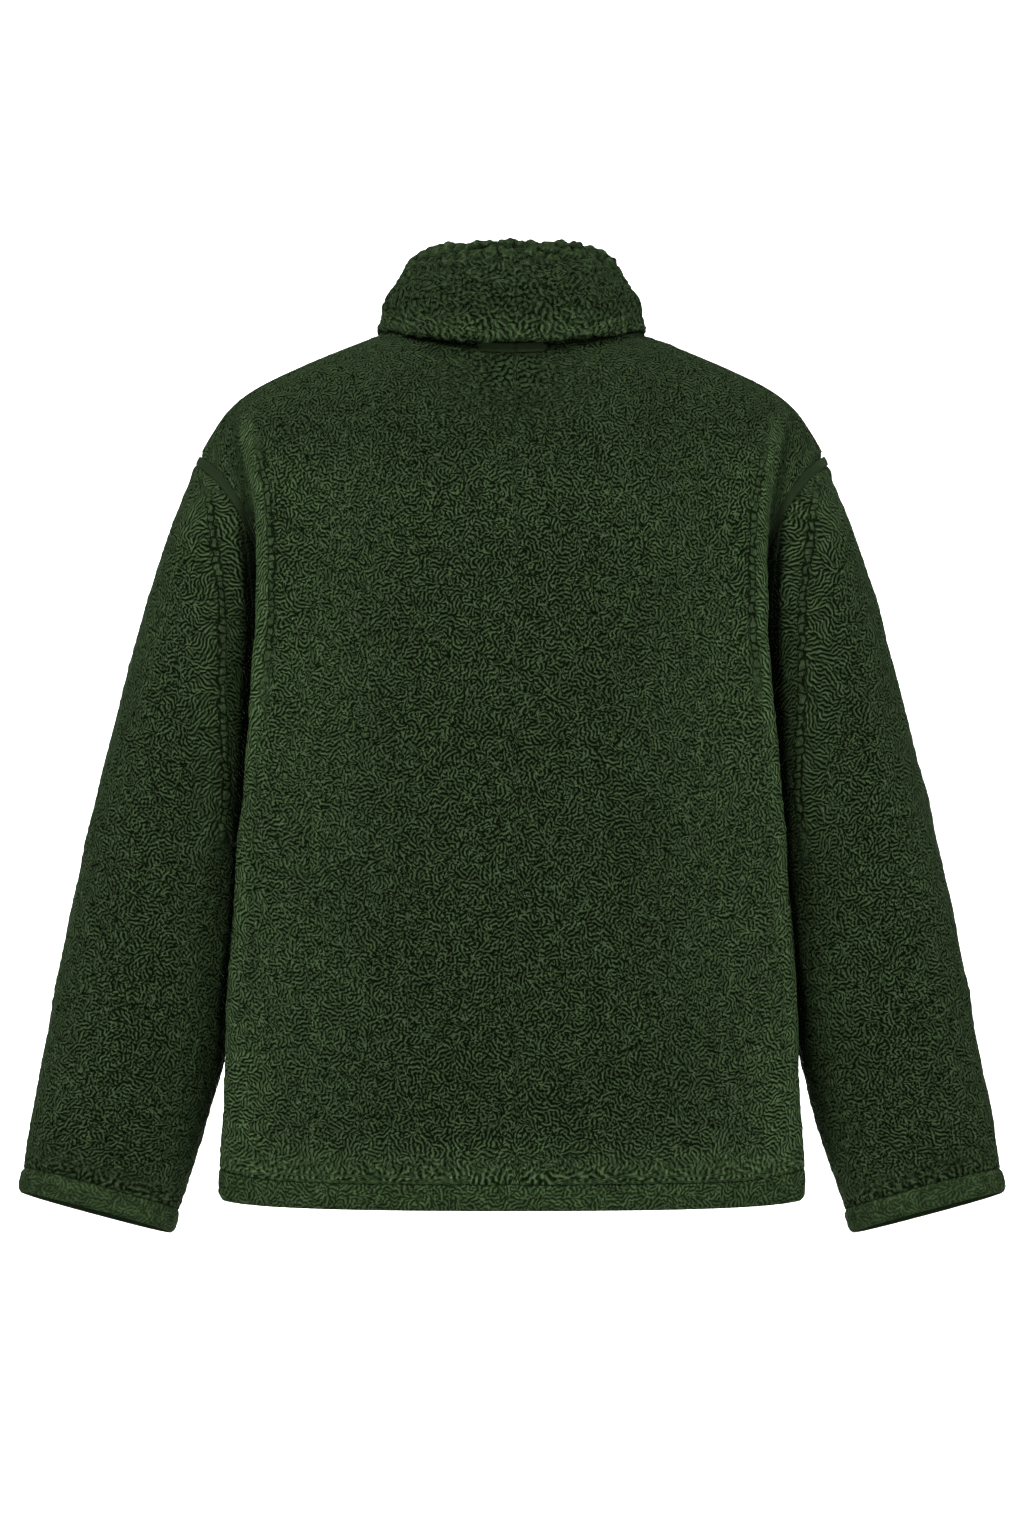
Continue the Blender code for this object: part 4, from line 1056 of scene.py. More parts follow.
# the back; each pair is where a change starts and ends, in height or beside the fold (the body below 0)
backPile = {
    "neckTape": (0.029, 0.021),  # it shows only at the middle, beside it the pile is a little raised
    "besideNeckTape": 0.0024,
    "flatIn": (-0.013, -0.008),  # brushed flat round the fold
    "flatOut": (0.004, 0),
    "flatTop": (-0.055, -0.085),
    "flatLow": (-0.40, -0.25),
    "hemFlat": (-0.646, 0.021),  # a height, and how far it reaches
    "lowSide": (-0.060, -0.015),
    "lowSideTop": (-0.50, -0.60),
    "rowTop": (-0.075, -0.105),
    "rowEnd": (-0.30, -0.24),
    "neckCurls": (0.05, 0.035, 0.03),  # big curls below the neck: half width, depth and height
    "flatLight": 0.85,  # painted light and shade
    "rowShade": 0.6,
    "sideLight": 0.20,
    "sideLightIn": (-0.12, -0.02),
    "sideLightTop": (-0.06, -0.12),
    "plainShade": 0.16,
    "topShade": 0.15,
    "topShadeEnd": (-0.13, -0.07),
    "hemShade": 0.07,
}
backNormals = gridNormals(wholeBack)
if backNormals[lowRows, half - 1, 1] < 0:
    backNormals = -backNormals
top = fromTop(wholeBack)
sides = np.minimum(fromLeft(wholeBack), fromRight(wholeBack))
underNeck = np.abs(np.arange(wholeBack.shape[1]) - (half - 1)) <= panels["neckSteps"]
lift = pileLumps(wholeBack, 3) * calm(top) * calm(sides + (1 - byArmhole) * 0.02)
lift += creased(wholeBack, backNormals, bodyCreases)
lift += np.where(underNeck[None, :], 0.0, besideTape(top, panels["backDip"]))
seen = fade(np.abs(wholeBack[..., 0]), *backPile["neckTape"])
hidden = backPile["besideNeckTape"] * fade(top, 0.012, 0.006)
underTape = seen * besideTape(top, panels["neckDip"]) + (1 - seen) * hidden
lift += np.where(underNeck[None, :], underTape, 0.0)
lift += besideTape(sides, panels["backDip"]) * byArmhole
x, z = np.abs(wholeBack[..., 0]), wholeBack[..., 2]
fromFold = x - smoothColumn(besideFold, "z", "edgeX", z)
laid = fade(fromFold, *backPile["flatIn"]) * fade(fromFold, *backPile["flatOut"])
laid = laid * fade(z, *backPile["flatTop"])
laid = laid * (0.5 + 0.5 * fade(z, *backPile["flatLow"]))
nearHem = bell(z - backPile["hemFlat"][0], backPile["hemFlat"][1])
lowSide = fade(fromFold, *backPile["lowSide"]) * fade(z, *backPile["lowSideTop"])
laid = np.maximum.reduce([laid, 0.8 * nearHem, 0.6 * lowSide])
# the row of curls beside the fold
part = fromFold + panels["row"]
parted = fade(z, *backPile["rowTop"]) * fade(z, *backPile["rowEnd"])
row = bell(part, panels["rowWidth"]) * parted
wide, deep, tall = backPile["neckCurls"]
big = np.clip(bell(x, wide) * bell(z + deep, tall), 0, 1)
big = np.maximum.reduce([big, bell(z - panels["hemZ"], panels["hemCurls"]), row])
# painted light where the pile lies flat round the fold and towards the sides, less on the row of curls;
# painted shade over the whole back, more at the top and by the hem
paintedShading = backPile["flatLight"] * laid * (1 - backPile["rowShade"] * row)
atSide = fade(fromFold, *backPile["sideLightIn"])
paintedShading += backPile["sideLight"] * atSide * fade(z, *backPile["sideLightTop"]) - backPile["plainShade"]
paintedShading -= backPile["topShade"] * fade(z, *backPile["topShadeEnd"]) + backPile["hemShade"] * nearHem
inward = np.where(wholeBack[..., 0] > 0, -0.93, 0.93) * (1 - nearHem)
goal = np.stack([inward, 0 * x, 0.37 + nearHem], axis=-1)
reach = gridReach(wholeBack)
marks = {
    "laid": np.maximum(laid, bell(part, 0.006) * parted),
    "lay": strokeAngle(wholeBack, reach, goal),
    "big": big,
    "deep": foldShade(wholeBack),
    "part": part,
    "parted": parted,
    "paintedShading": paintedShading,
}
addPanel("back", wholeBack, backNormals, lift, marks)

# the fronts
frontNormals = gridNormals(frontHalf)
if frontNormals[lowRows, half // 3, 1] > 0:
    frontNormals = -frontNormals
top = fromTop(frontHalf)
sides = fromRight(frontHalf)
edge = fromLeft(frontHalf)
dips = np.where((columns < form["neckColumn"])[None, :], 0.0, besideTape(top, panels["frontDip"]))
dips += besideTape(sides, panels["frontDip"]) * byArmhole
dips -= panels["frontEdgeDip"] * fade(edge, 0.004, 0)
marks = {
    "laid": 0.8 * bell(edge, 0.012),
    "lay": np.full(edge.shape, math.pi / 2),
    "big": bell(frontHalf[..., 2] - panels["hemZ"], panels["hemCurls"]),
}
for side, seed in (("left", 21), ("right", 22)):
    lift = pileLumps(frontHalf, seed) * calm(top) * calm(sides + (1 - byArmhole) * 0.02)
    addPanel("front_" + side, frontHalf, frontNormals, lift + dips, marks)

# the sleeves
sleevePile = {
    "partTop": (-0.115, -0.135),  # heights between which the pile parts along the crease at the back
    "partEnd": (-0.42, -0.37),
    "partReach": (0.034, 0.012),  # how far beside it the pile turns away
    "partFlat": 0.85,
    "flat": 0.9,  # brushed flat along the outside
    "flatRound": (0.65, 0.15),
    "partLight": 0.20,
    "plainShade": 0.10,
}
sleeveNormals = gridNormals(sleeveHalf, wrap=True)
if sleeveNormals[60, 0, 0] < 0:
    sleeveNormals = -sleeveNormals
fromSeam = fromTop(sleeveHalf[::-1])[::-1]
dips = creased(sleeveHalf, sleeveNormals, sleeveCreases) + besideTape(fromSeam, panels["frontDip"])
# the pile parts along the fold at the back and lies down along the outside
z = sleeveHalf[..., 2]
part = lineBeside(sleeveHalf, sleeveCreases[0]["line"])
atBack = fade(sleeveNormals[..., 1], 0, 0.5)
parted = atBack * fade(z, *sleevePile["partTop"]) * fade(z, *sleevePile["partEnd"])
nearLine = fade(np.abs(part), *sleevePile["partReach"]) * parted
outside = fade(sleeveNormals[..., 0], -1 / 6, 1 / 6)
laid = sleevePile["flat"] * fade(np.abs(sleeveNormals[..., 1]), *sleevePile["flatRound"]) * outside
spread = np.clip(part / 0.003, -1, 1) * nearLine
goalX = 0.9 * spread + 0.95 * (1 - nearLine)
goalZ = -0.42 * nearLine - 0.30 * (1 - nearLine)
row = bell(part, panels["rowWidth"]) * parted
reach = axisReach(sleeveHalf, panels["sleeveAxis"])
marks = {
    "laid": np.maximum(laid, sleevePile["partFlat"] * nearLine),
    "lay": strokeAngle(sleeveHalf, reach, np.stack([goalX, 0 * part, goalZ], axis=-1)),
    "big": np.maximum(bell(fromTop(sleeveHalf), panels["cuffCurls"]), row),
    "deep": foldShade(sleeveHalf),
    "part": part,
    "parted": parted,
    # painted light beside the parting, painted shade over the whole sleeve
    "paintedShading": sleevePile["partLight"] * nearLine - sleevePile["plainShade"],
}
for side, seed in (("left", 41), ("right", 42)):
    lift = pileLumps(sleeveHalf, seed) * calm(fromSeam) + dips
    addPanel("sleeve_" + side, sleeveHalf, sleeveNormals, lift, marks, True, reach)
print("panels made")

# bound hem and cuffs, in lower pile, round at the rim
bands = {
    "hem": 0.0200,  # heights
    "cuff": 0.0190,
    "proud": 0.0011,  # swell over the cloth, and the nip at the seam
    "nip": 0.0014,
    "tuck": 0.0022,  # how far the rim turns in, over the last part of the height
    "tuckShare": 0.3,
    "levels": 14,
    "lump": 0.0065,
    "lumpHeight": 0.00020,
    "coarse": 2,
}


def bandGrids(edge, normals, down, height, seed):
    outer, inner = [], []
    for level in np.linspace(0, 1, bands["levels"] + 1):
        swell = bands["proud"] * math.sin(math.pi * min(1.0, 0.15 + 0.85 * level))
        swell -= bands["nip"] * float(bell(level, 0.10))
        tuck = bands["tuck"] * max(0.0, (level - 1 + bands["tuckShare"]) / bands["tuckShare"]) ** 3
        base = edge + down * (form["seamGap"] + np.reshape(height, (-1, 1)) * level)
        outer.append(base + normals * (swell - tuck))
        inner.append(base - normals * (form["cloth"] - 0.5 * tuck))
    outer, inner = np.array(outer), np.array(inner)
    outer += normals * (bands["lumpHeight"] * curlNoise(outer, bands["lump"], seed))[..., None]
    return outer, inner


edgeLine = np.concatenate([frontHalf[0], backHalf[0][-2::-1]], axis=0)
edgeNormals = np.concatenate([frontNormals[0], backNormals[0][: half - 1]], axis=0)
hemEdge = np.concatenate([edgeLine, mirrored(edgeLine)[-2::-1]], axis=0)
hemNormals = np.concatenate([edgeNormals, mirrored(edgeNormals)[-2::-1]], axis=0) * [1, 1, 0]
hemNormals = unitRows(hemNormals)
hemHeight = bands["hem"] + 0.65 * hemRise(hemEdge[:, 0])
outer, inner = bandGrids(hemEdge, hemNormals, np.array([0.0, 0.0, -1.0]), hemHeight, 61)
still = np.zeros(outer.shape[:2])
# painted light over the whole hem band
marks = {"laid": still + 0.25, "lay": still + math.pi / 2, "paintedShading": still + 0.22}
addCloth("hem_band", outer, inner, bands["coarse"], clipped, False, marks)
ring = sleeveHalf[-1]
down = unitRows((sleeveHalf[-1] - sleeveHalf[-2]).mean(axis=0))
ringNormals = sleeveNormals[-1] - (sleeveNormals[-1] @ down)[:, None] * down
ringNormals = unitRows(ringNormals)
for side, seed in (("left", 63), ("right", 64)):
    outer, inner = bandGrids(ring, ringNormals, down, bands["cuff"], seed)
    still = np.zeros(outer.shape[:2])
    # painted light over the whole cuff
    marks = {"laid": still + 0.25, "lay": still + math.pi / 2, "paintedShading": still + 0.2, "lumpy": still + 0.35}
    addCloth("cuff_band_" + side, outer, inner, bands["coarse"], clipped, True, marks)
print("bands made")

# smooth tapes over the shoulder and armhole seams and along the back neck
tapes = {
    "half": 0.0037,  # half the width, and the thickness at the edges and more in the middle
    "thick": 0.0010,
    "round": 0.0004,
    "rise": 0.0001,
    "across": 9,
    "shoulderEnd": 0.0062,  # gap at the ends of the shoulder seam
    "armholeShare": 0.62,  # the part of the armhole seam above the fold
    "neckFall": 0.0038,  # the neck tape below and above the seam
    "neckRise": 0.0042,
    "neckSeen": 0.022,
}


def tapeOver(name, seam, sides, sideNormals):
    seamNormals = unitRows(sideNormals[0] + sideNormals[1])
    outer, inner = [], []
    for across in np.linspace(-1, 1, tapes["across"]):
        k = 0 if across < 0 else 1
        away = unitRows(sides[k] - seam)
        out = unitRows(seamNormals + (sideNormals[k] - seamNormals) * abs(across) * 0.5)
        base = seam + away * abs(across) * tapes["half"]
        high = tapes["rise"] + tapes["thick"] + tapes["round"] * (1 - across**4)
        outer.append(base + out * high)
        inner.append(base + out * tapes["rise"])
    outer = np.array(outer)
    addCloth(name, outer, np.array(inner), 2, seamTape, marks={"deep": foldShade(outer)})


inset = panels["inset"]
halfNormals = backNormals[:, :half][:, ::-1]


def shoulderRun(grid, row):
    line = grid[row, panels["neckSteps"] :]
    return line[keep]


seamLine = backHalf[-1, panels["neckSteps"] :]
reach = np.concatenate(([0.0], np.cumsum(np.linalg.norm(np.diff(seamLine, axis=0), axis=1))))
keep = (reach > tapes["shoulderEnd"]) & (reach < reach[-1] - tapes["shoulderEnd"])
beside = [shoulderRun(grid, -1 - inset) for grid in (backHalf, frontHalf)]
outs = [shoulderRun(grid, -1 - inset) for grid in (halfNormals, frontNormals)]
for side in ("left", "right"):
    tapeOver("shoulder_tape_" + side, seamLine[keep], beside, outs)


def armholeLoop(backGrid, frontGrid):
    # a line round the armhole, from the shoulder down the back and up the front
    backLine = backGrid[lowRows:, -1 - inset][::-1]
    return np.concatenate([backLine, frontGrid[lowRows + 1 :, -1 - inset]], axis=0)[:-1]


run = int(tapes["armholeShare"] * panels["highRows"])
above = np.roll(np.arange(2 * panels["highRows"]), run)[: 2 * run + 1]
beside = [armholeLoop(backHalf, frontHalf)[above], sleeveHalf[inset, above]]
outs = [armholeLoop(halfNormals, frontNormals)[above], sleeveNormals[inset, above]]
for side in ("left", "right"):
    tapeOver("armhole_tape_" + side, sleeveHalf[0, above], beside, outs)
topLine = backHalf[-1, : panels["neckSteps"] + 1]
runDown = unitRows(backHalf[-1 - inset, : panels["neckSteps"] + 1] - topLine)
outLine = halfNormals[-1 - inset, : panels["neckSteps"] + 1]
outer, inner = [], []
seen = fade(topLine[:, :1], tapes["neckSeen"] + 0.008, tapes["neckSeen"])
lean = np.array([0.0, -0.17, 1.0])
for share in np.linspace(0, 1, tapes["across"]):
    fall = share * (tapes["neckFall"] + tapes["neckRise"]) - tapes["neckRise"]
    base = topLine + (runDown * fall if fall > 0 else -lean * fall * seen + runDown * 0.0002)
    high = tapes["rise"] + tapes["thick"] + tapes["round"] * (1 - (2 * share - 1) ** 4)
    outer.append(base + outLine * high)
    inner.append(base + outLine * tapes["rise"])
outer, inner = np.array(outer), np.array(inner)
outer = np.concatenate([mirrored(outer)[:, -3:0:-1], outer[:, :-2]], axis=1)
inner = np.concatenate([mirrored(inner)[:, -3:0:-1], inner[:, :-2]], axis=1)
join = {"deep": 0.5 * bell(outer[..., 0] + 0.0023, 0.0012)}  # the two ends of the tape meet here
addCloth("neck_tape", outer, inner, 2, neckTape, marks=join)
print("tapes made")

# the turned-down collar: sections round the neck, fine over the fold and the leaf
collar = {
    "foot": 0.0013,  # the stand's foot over the neck seam
    "roll": 0.0170,  # width of the fold at the top
    "frontTurn": 177.0,  # degrees from the centre back to the collar's front ends
    "pointSpread": 8.0,  # how far the points turn aside, over the last part of each front
    "pointStart": 120,
    "pointRun": 51,
    "sections": 440,
    "curl": 0.0085,
    "curlHeight": 0.0009,
    "smallCurl": 0.0042,
    "smallHeight": 0.00012,
    "edgePuff": 0.0022,
    "belly": 0.0045,  # how far the leaf bows out, and a little more at its middle
    "middleBelly": 0.002,
    "top": 0.0115,  # round tufts along the fold, and how far they reach below it
    "topHeight": 0.0022,
    "topFall": 0.0185,
    "topCalm": (80, 120),  # degrees round the neck where those tufts fade
    "edge": 9.0,  # points of the section: the puffed rim, the flat pile over it, where curls fade in
    "flat": 12.0,
    "fadeIn": 6,
    "endFade": 3,  # degrees
    # painted shade over the whole collar, painted light on the leaf's flat roll and on the tops of the tufts
    "plainShade": 0.31,
    "flatLight": 0.45,
    "topLight": 0.75,
}


def collarSection(turn, leafTurn):
    def seamPoint(angle):
        share = angle / 90 if angle <= 90 else (180 - angle) / 90
        return neckSeam(share, angle <= 90)

    def outward(angle):
        if angle <= 0:
            return np.array([0.0, 1.0, 0.0])
        gone = seamPoint(min(angle + 1, 180)) - seamPoint(max(angle - 1, 0))
        side = np.array([-gone[1], gone[0], 0.0])
        return side / np.linalg.norm(side)

    def value(name, angle):
        return float(smoothColumn(collarForm, "turn", name, angle))

    foot, out, up = seamPoint(turn), outward(turn), np.array([0.0, 0.0, 1.0])
    rise, lean = value("foldUp", turn), value("lean", turn)
    leafFoot, leafOut = seamPoint(leafTurn), outward(leafTurn)
    edgeOut, edgeUp = value("edgeOut", leafTurn), value("edgeUp", leafTurn)

    def stand(outBy, upBy):
        return foot + out * outBy + up * upBy

    def leaf(share, depth):
        start = stand(-lean + 0.5 * collar["roll"] + 0.004, rise - 0.006)
        end = leafFoot + leafOut * (edgeOut - depth) + up * edgeUp
        bow = math.sin(math.pi * share)
        belly = collar["belly"] * bow + collar["middleBelly"] * bow**8
        return start + (end - start) * share + leafOut * (belly - (depth if share < 1 else 0))

    # up the inside of the stand, over the fold, down the leaf, and back under it to the foot
    wall = form["cloth"]
    points = [stand(-wall, collar["foot"]), stand(-0.35 * lean - wall, 0.35 * rise)]
    points += [stand(-0.75 * lean - wall, 0.75 * rise), stand(-lean - wall, rise - 0.008)]
    points += [stand(-lean, rise - 0.0015), stand(-lean + 0.3 * collar["roll"], rise)]
    points += [stand(-lean + 0.6 * collar["roll"], rise - 0.002)]
    points += [leaf(share, 0.0) for share in (0.0, 0.25, 0.5, 0.75, 0.92, 1.0)]
    points += [leaf(share, wall + 0.0004) for share in (1.0, 0.8, 0.5, 0.25)]
    points += [stand(-lean + 0.0030, rise - 0.012)]
    points += [stand(-0.6 * lean, 0.6 * rise), stand(-0.3 * lean, 0.3 * rise), stand(0.0, collar["foot"])]
    return np.array(points)


# steps between one point of the section and the next: many where it shows
sectionSteps = [7, 8, 6, 8, 5, 5, 6, 16, 16, 16, 11, 7, 5, 5, 6, 6, 3, 8, 8, 6, 3]


def fineSection(points):
    count = len(points)
    fine = []
    for i in range(count):
        a, b, c, d = (points[(i + k) % count] for k in (-1, 0, 1, 2))
        if i in (count - 1, count - 2):
            a = b
        if i == count - 2:
            d = c
        for f in np.arange(sectionSteps[i]) / sectionSteps[i]:
            fine.append(curvePoint(a, b, c, d, f))
    return np.array(fine)


turns = np.linspace(-collar["frontTurn"], collar["frontTurn"], collar["sections"] + 1)
sections = []
for turn in turns:
    share = max(0.0, (abs(turn) - collar["pointStart"]) / collar["pointRun"])
    leafTurn = abs(turn) - collar["pointSpread"] * share**2
    section = fineSection(collarSection(abs(turn), leafTurn))
    sections.append(section if turn >= 0 else mirrored(section))
tube = np.array(sections)
tubeNormals = gridNormals(tube, wrap=True)
middle = tube.mean(axis=1, keepdims=True)
if ((tube - middle) * tubeNormals).sum() < 0:
    tubeNormals = -tubeNormals
steps = np.concatenate([[0], np.cumsum(sectionSteps)])
place = np.arange(tube.shape[1])
standTop, foldTop, leafHigh, leafMiddle, leafLow, leafEdge, underLeaf = steps[[3, 4, 8, 9, 11, 12, 14]]
fadeIn = fade(place, standTop, standTop + collar["fadeIn"])
shown = fadeIn * fade(place, underLeaf, underLeaf - collar["fadeIn"])
foldRound = fadeIn * fade(place, leafHigh, leafHigh - 20)
rim = bell(place - leafEdge, collar["edge"])
ends = fade(np.abs(turns), collar["frontTurn"], collar["frontTurn"] - collar["endFade"])[:, None]
curls = curlNoise(tube, collar["curl"], 71, 0.9)
lift = collar["curlHeight"] * np.clip(curls, -1.3, 1.3) * (0.75 + 0.5 * foldRound + 0.35 * rim)
fall = tube[..., 2].max(axis=1, keepdims=True) - tube[..., 2]
topRow = bell(fall, collar["topFall"])
topRow *= fade(place, foldTop, foldTop + 8) * fade(place, leafMiddle, leafMiddle - 24)
topRow *= 1 - 0.7 * fade(np.abs(turns), *collar["topCalm"])[:, None]
bent = np.stack([latticeNoise(tube, collar["top"] * 1.3, 79 + k) for k in range(3)], axis=-1)
lumps = pebbles(tube + 0.25 * collar["top"] * bent, collar["top"], 78)
lift += collar["topHeight"] * (lumps - 0.55) * topRow
lift += collar["smallHeight"] * curlNoise(tube, collar["smallCurl"], 74, 0.9)
lift += 0.5 * collar["edgePuff"] * rim
lift *= shown * ends
tube = tube + tubeNormals * lift[..., None]
count, around = tube.shape[:2]
i, j = np.meshgrid(np.arange(count - 1), np.arange(around), indexing="ij")
a, b = i * around + j, i * around + (j + 1) % around
faces = np.stack([a, b, b + around, a + around], axis=-1).reshape(-1, 4).tolist()
faces.append(list(range(around))[::-1])
faces.append([(count - 1) * around + m for m in range(around)])
reach = gridReach(tube)
reach[..., 1] -= reach[count // 2, :, 1]
roll = bell(place - leafLow, collar["flat"])[None, :] * np.ones((count, 1))
# painted light and shade: lighter on the roll and on the tufts' tops, darker elsewhere
paintedShading = collar["flatLight"] * roll - collar["plainShade"] + (collar["topLight"] * lumps - 0.15) * topRow
# relief gives painted light on raised curls and tufts and painted shade in the cracks between them
marks = {
    "relief": 0.50 * np.clip(curls, -1.2, 1.0) * shown + 1.5 * (lumps - 0.75) * topRow,
    "laid": 0.8 * roll,
    "lay": strokeAngle(tube, reach, np.array([0.0, 0.0, 1.0])),
    "paintedShading": paintedShading * shown,
    "big": np.broadcast_to(0.8 * shown, (count, around)),
    "lumpy": 0.6 * topRow,
}
addMesh("collar", tube.reshape(-1, 3), faces, reach.reshape(-1, 2), pile, marks)
closeMesh("collar", True)

# the zip: woven tapes behind the front edges and two rows of moulded teeth
zipper = {
    "tape": 0.0008,
    "hold": 0.0110,  # how far the tape reaches behind the front
    "behind": 0.0006,
    "chainWidth": 0.0056,
    "pitch": 0.0027,  # between two teeth of one side
    "toothHalf": 0.00062,
    "toothThick": 0.0022,
    "headPast": 0.0009,  # past the middle
    "headShare": 0.72,
    "chamfer": 0.25,
    "chamferCut": 0.0003,
    "flat": 0.55,  # the part of its thickness between the chamfers
    "footGap": 0.0002,
    "topShort": 0.0012,  # the tapes end below the neck seam
    "start": 0.0110,
    "end": 0.0088,
}
line = frontHalf[:, 0]
hemDrop = np.array([0.0, 0.0, -form["seamGap"] - bands["hem"]])
line = np.concatenate([line[:1] + hemDrop, line[:1] + 0.5 * hemDrop, line])
outLine = frontNormals[np.maximum(np.arange(len(line)) - 2, 0), 0]
outLine = unitRows(outLine * np.array([0.0, 1.0, 1.0]))
face = line - (form["cloth"] + zipper["behind"]) * outLine
face[-1] += unitRows(face[-2:-1] - face[-1:])[0] * zipper["topShort"]
inward = np.array([1.0, 0.0, 0.0]) * (form["frontEdge"] - zipper["chainWidth"] / 2 - form["seamGap"])
reachBack = np.array([1.0, 0.0, 0.0]) * zipper["hold"]
shares = np.linspace(0, 1, 9)[:, None, None]
tapeOuter = (face - inward)[None] * (1 - shares) + (face + reachBack)[None] * shares
tapeInner = tapeOuter - zipper["tape"] * outLine[None]
for side in ("left", "right"):
    addCloth("zip_tape_" + side, tapeOuter, tapeInner, 2, zipTape)
centre = face - 0.5 * zipper["tape"] * outLine
centre[:, 0] = 0.0
length = np.linalg.norm(np.diff(centre, axis=0), axis=1).sum()
places = np.arange(zipper["start"], length - zipper["end"], zipper["pitch"] / 2) / length
spots = along(centre, places)
ahead = unitRows(along(centre, np.minimum(places + 0.002, 1)) - along(centre, np.maximum(places - 0.002, 0)))
toothFoot = 0.5 * zipper["chainWidth"] - zipper["footGap"]
levels = [(-1, zipper["chamfer"]), (-zipper["flat"], 0.0), (zipper["flat"], 0.0), (1, zipper["chamfer"])]
points, faces = [], []
for k, (spot, up) in enumerate(zip(spots, ahead)):
    side = 1 if k % 2 else -1
    across = np.array([float(side), 0.0, 0.0])
    out = np.cross(across, up) * (1 if np.cross(across, up)[1] < 0 else -1)
    first = len(points)
    # a tooth: broad foot at the tape, narrow head past the middle, low chamfers
    for level, inset in levels:
        for reachOut, wide in ((toothFoot, 1.0), (-zipper["headPast"], zipper["headShare"])):
            for turn in (-1, 1):
                halfWide = zipper["toothHalf"] * wide * (1 - inset)
                end = reachOut - zipper["chamferCut"] * inset * (1 if reachOut > 0 else -1)
                base = spot + out * level * 0.5 * zipper["toothThick"]
                points.append(base + across * end + up * halfWide * turn)
    for ring in range(3):
        order = [0, 1, 3, 2]
        for m in range(4):
            a, b = first + 4 * ring + order[m], first + 4 * ring + order[(m + 1) % 4]
            faces.append((a, b, b + 4, a + 4))
    faces += [tuple(first + m for m in (0, 2, 3, 1)), tuple(first + 12 + m for m in (0, 1, 3, 2))]
points = np.array(points)
addMesh("zip_teeth", points, faces, points[:, [0, 2]], teeth)
closeMesh("zip_teeth", True)
pieces["zip_teeth"].data.shade_flat()
print("zip made", len(places), "teeth")

# each piece takes its node's place; a pair has one row, and a name that ends in _ takes the side.
# Sheets state their flat cut: its widths and, where it isn't a rectangle, its area
sheets = [
    ("back", "pile_fleece", (0.634, 0.713), 0.368, "hung", "shoulder_tape_left shoulder_tape_right"),
    ("front_", "pile_fleece", (0.344, 0.717), 0.161, "hung", "shoulder_tape_"),
    ("sleeve_", "pile_fleece", (0.427, 0.578), 0.209, "hung", "armhole_tape_"),
    ("collar", "pile_fleece", (0.560, 0.170), 0.0655, "folded", "back front_left front_right"),
    ("hem_band", "clipped_fleece", (1.165, 0.0275), 0.0273, "hung", "back front_left front_right"),
    ("cuff_band_", "clipped_fleece", (0.348, 0.022), None, "hung", "sleeve_"),
    ("shoulder_tape_", "seam_tape", (0.167, 0.010), 0.00143, "laid", "back front_"),
    ("armhole_tape_", "seam_tape", (0.261, 0.010), 0.0018, "laid", "sleeve_ back"),
    ("neck_tape", "seam_tape", (0.250, 0.010), 0.0012, "laid", "back collar"),
    ("zip_tape_", "zip_tape", (0.613, 0.015), None, "hung", "front_"),
]
for node, slot, flat, area, held, under in sheets:
    for side in ("left", "right") if node.endswith("_") else ("",):
        piece = pieces[node + side]
        piece.name = "cloth_" + node + side
        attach(piece, "jacket")
        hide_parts(node + side)
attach(pieces["zip_teeth"], "jacket")
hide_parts("zip_chain")
for node in ("zip_slider", "zip_pull", "zip_box"):
    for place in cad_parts[node].material_slots:
        place.material = metal

# pale floor and backdrop, soft light, and the camera level behind the back
studio = {
    "floorZ": -2.0,
    "floorFront": 9.0,
    "floorEnd": -6.8,
    "curve": 1.4,
    "wallTop": 8.0,
    "halfWidth": 12.0,
    "tone": 0.93,
    "world": 0.42,
    "cameraY": 4.0,
    "cameraZ": -0.3356,
    "lens": 120.97,
}
wallY = studio["floorEnd"] - studio["curve"]
lights = {
    "keyLight": {"at": (0.9, 2.6, 1.7), "to": (0.0, 0.0, -0.32), "size": 1.2, "power": 70.0},
    "fillLight": {"at": (-1.3, 2.8, 0.9), "to": (0.0, 0.0, -0.32), "size": 1.4, "power": 30.0},
    "wallLightRight": {"at": (-3.2, -5.0, 0.4), "to": (0.0, wallY, -0.5), "size": 2.0, "power": 330.0},
    "wallLightLeft": {"at": (3.2, -5.0, 0.4), "to": (0.0, wallY, -0.5), "size": 2.0, "power": 330.0},
}
scene = bpy.context.scene
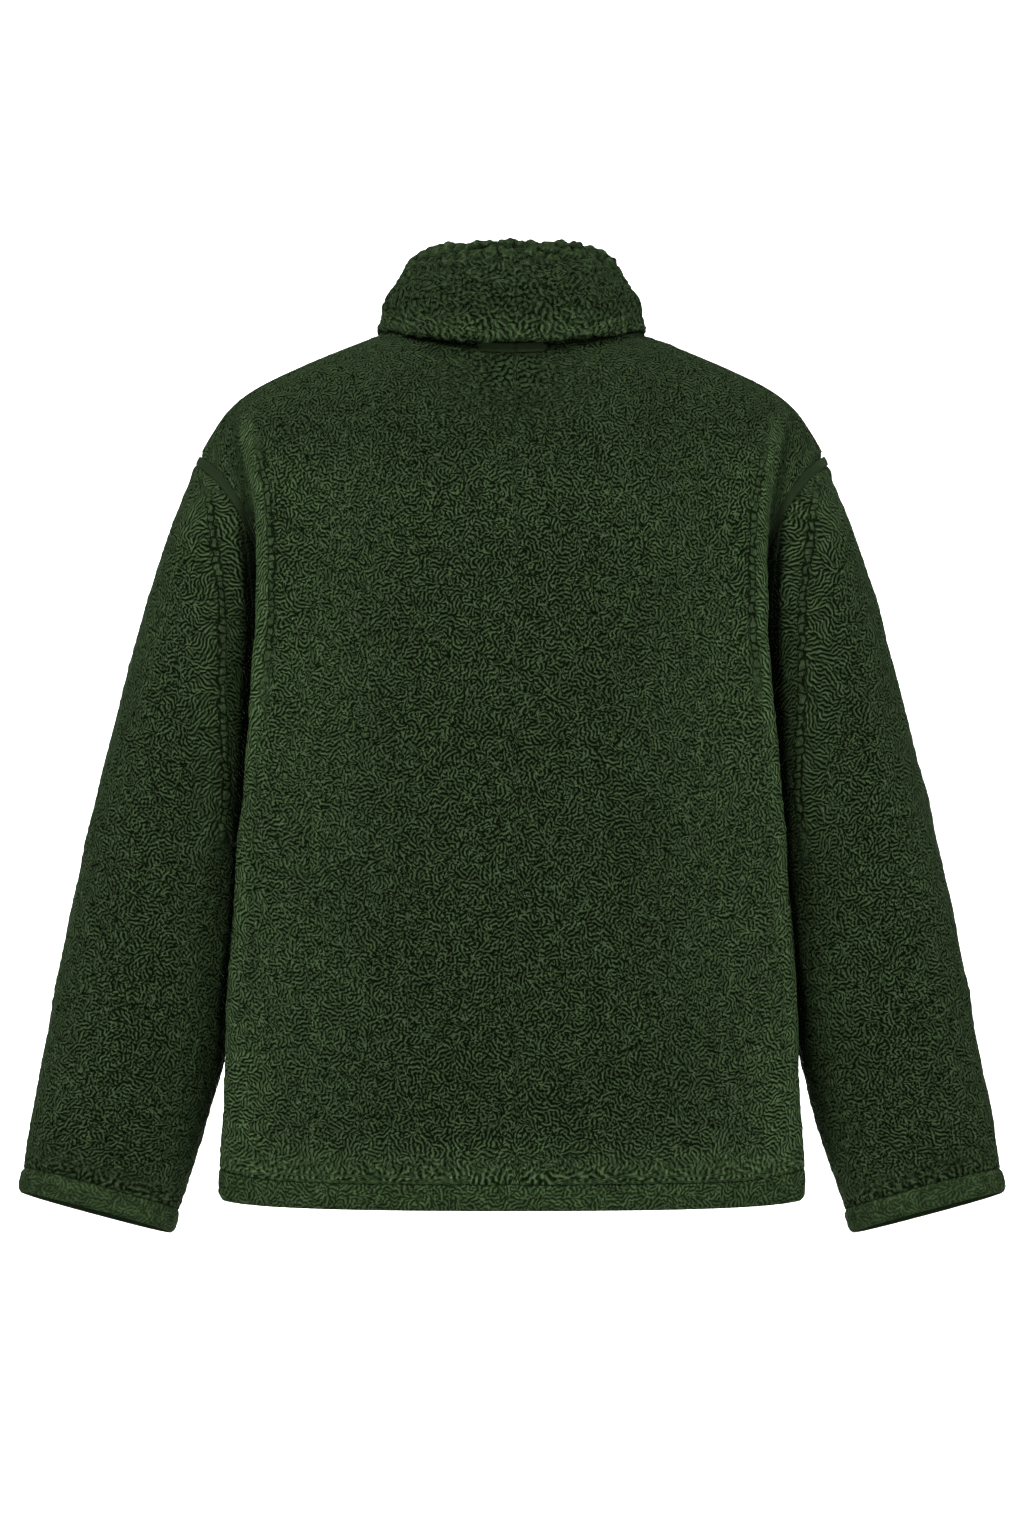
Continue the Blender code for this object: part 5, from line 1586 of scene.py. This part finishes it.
profile = [(studio["floorFront"], 0.0), (studio["floorEnd"], 0.0)]
for turn in np.radians(np.arange(6, 90, 6)):
    bow = studio["curve"] * np.array([-math.sin(turn), 1 - math.cos(turn)])
    profile.append((studio["floorEnd"] + bow[0], bow[1]))
profile += [(wallY, studio["curve"]), (wallY, studio["wallTop"])]
wide = studio["halfWidth"]
points = np.array([(x, y, studio["floorZ"] + z) for x in (-wide, wide) for y, z in profile])
many = len(profile)
faces = [(k, k + 1, many + k + 1, many + k) for k in range(many - 1)]
paper, tree, shader = startMaterial("palePaper", 0.9, 0.2)
where = addNode(tree, "TexCoord", {}).outputs["Object"]
grain = noise(tree, where, 3.0, 4.0, flat=False).outputs[0]
colour = ramp(tree, grain, (0.3, (studio["tone"],) * 3), (0.7, (studio["tone"] + 0.02,) * 3))
tree.links.new(colour, shader.inputs["Base Color"])
addMesh("backdrop", points, faces, points[:, :2], paper)
pieces["backdrop"]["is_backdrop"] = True

world = bpy.data.worlds.new("softRoom")
world.use_nodes = True
world.node_tree.nodes["Background"].inputs["Color"].default_value = (1.0, 1.0, 1.0, 1)
world.node_tree.nodes["Background"].inputs["Strength"].default_value = studio["world"]
scene.world = world

for name, look in lights.items():
    light = bpy.data.lights.new(name, "AREA")
    light.shape = "DISK"
    light.size = look["size"]
    light.energy = look["power"]
    lamp = bpy.data.objects.new(name, light)
    lamp.location = look["at"]
    aim = Vector(look["to"]) - Vector(look["at"])
    lamp.rotation_euler = aim.to_track_quat("-Z", "Y").to_euler()
    scene.collection.objects.link(lamp)

camera = bpy.data.cameras.new("camera")
camera.lens = studio["lens"]
camera.sensor_fit = "AUTO"
camera.sensor_width = 36.0
cameraPiece = bpy.data.objects.new("camera", camera)
cameraPiece.location = (0.0, studio["cameraY"], studio["cameraZ"])
cameraPiece.rotation_euler = (math.radians(90), 0.0, math.radians(180))
scene.collection.objects.link(cameraPiece)
scene.camera = cameraPiece
scene.view_settings.view_transform = "Standard"

low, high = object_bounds()
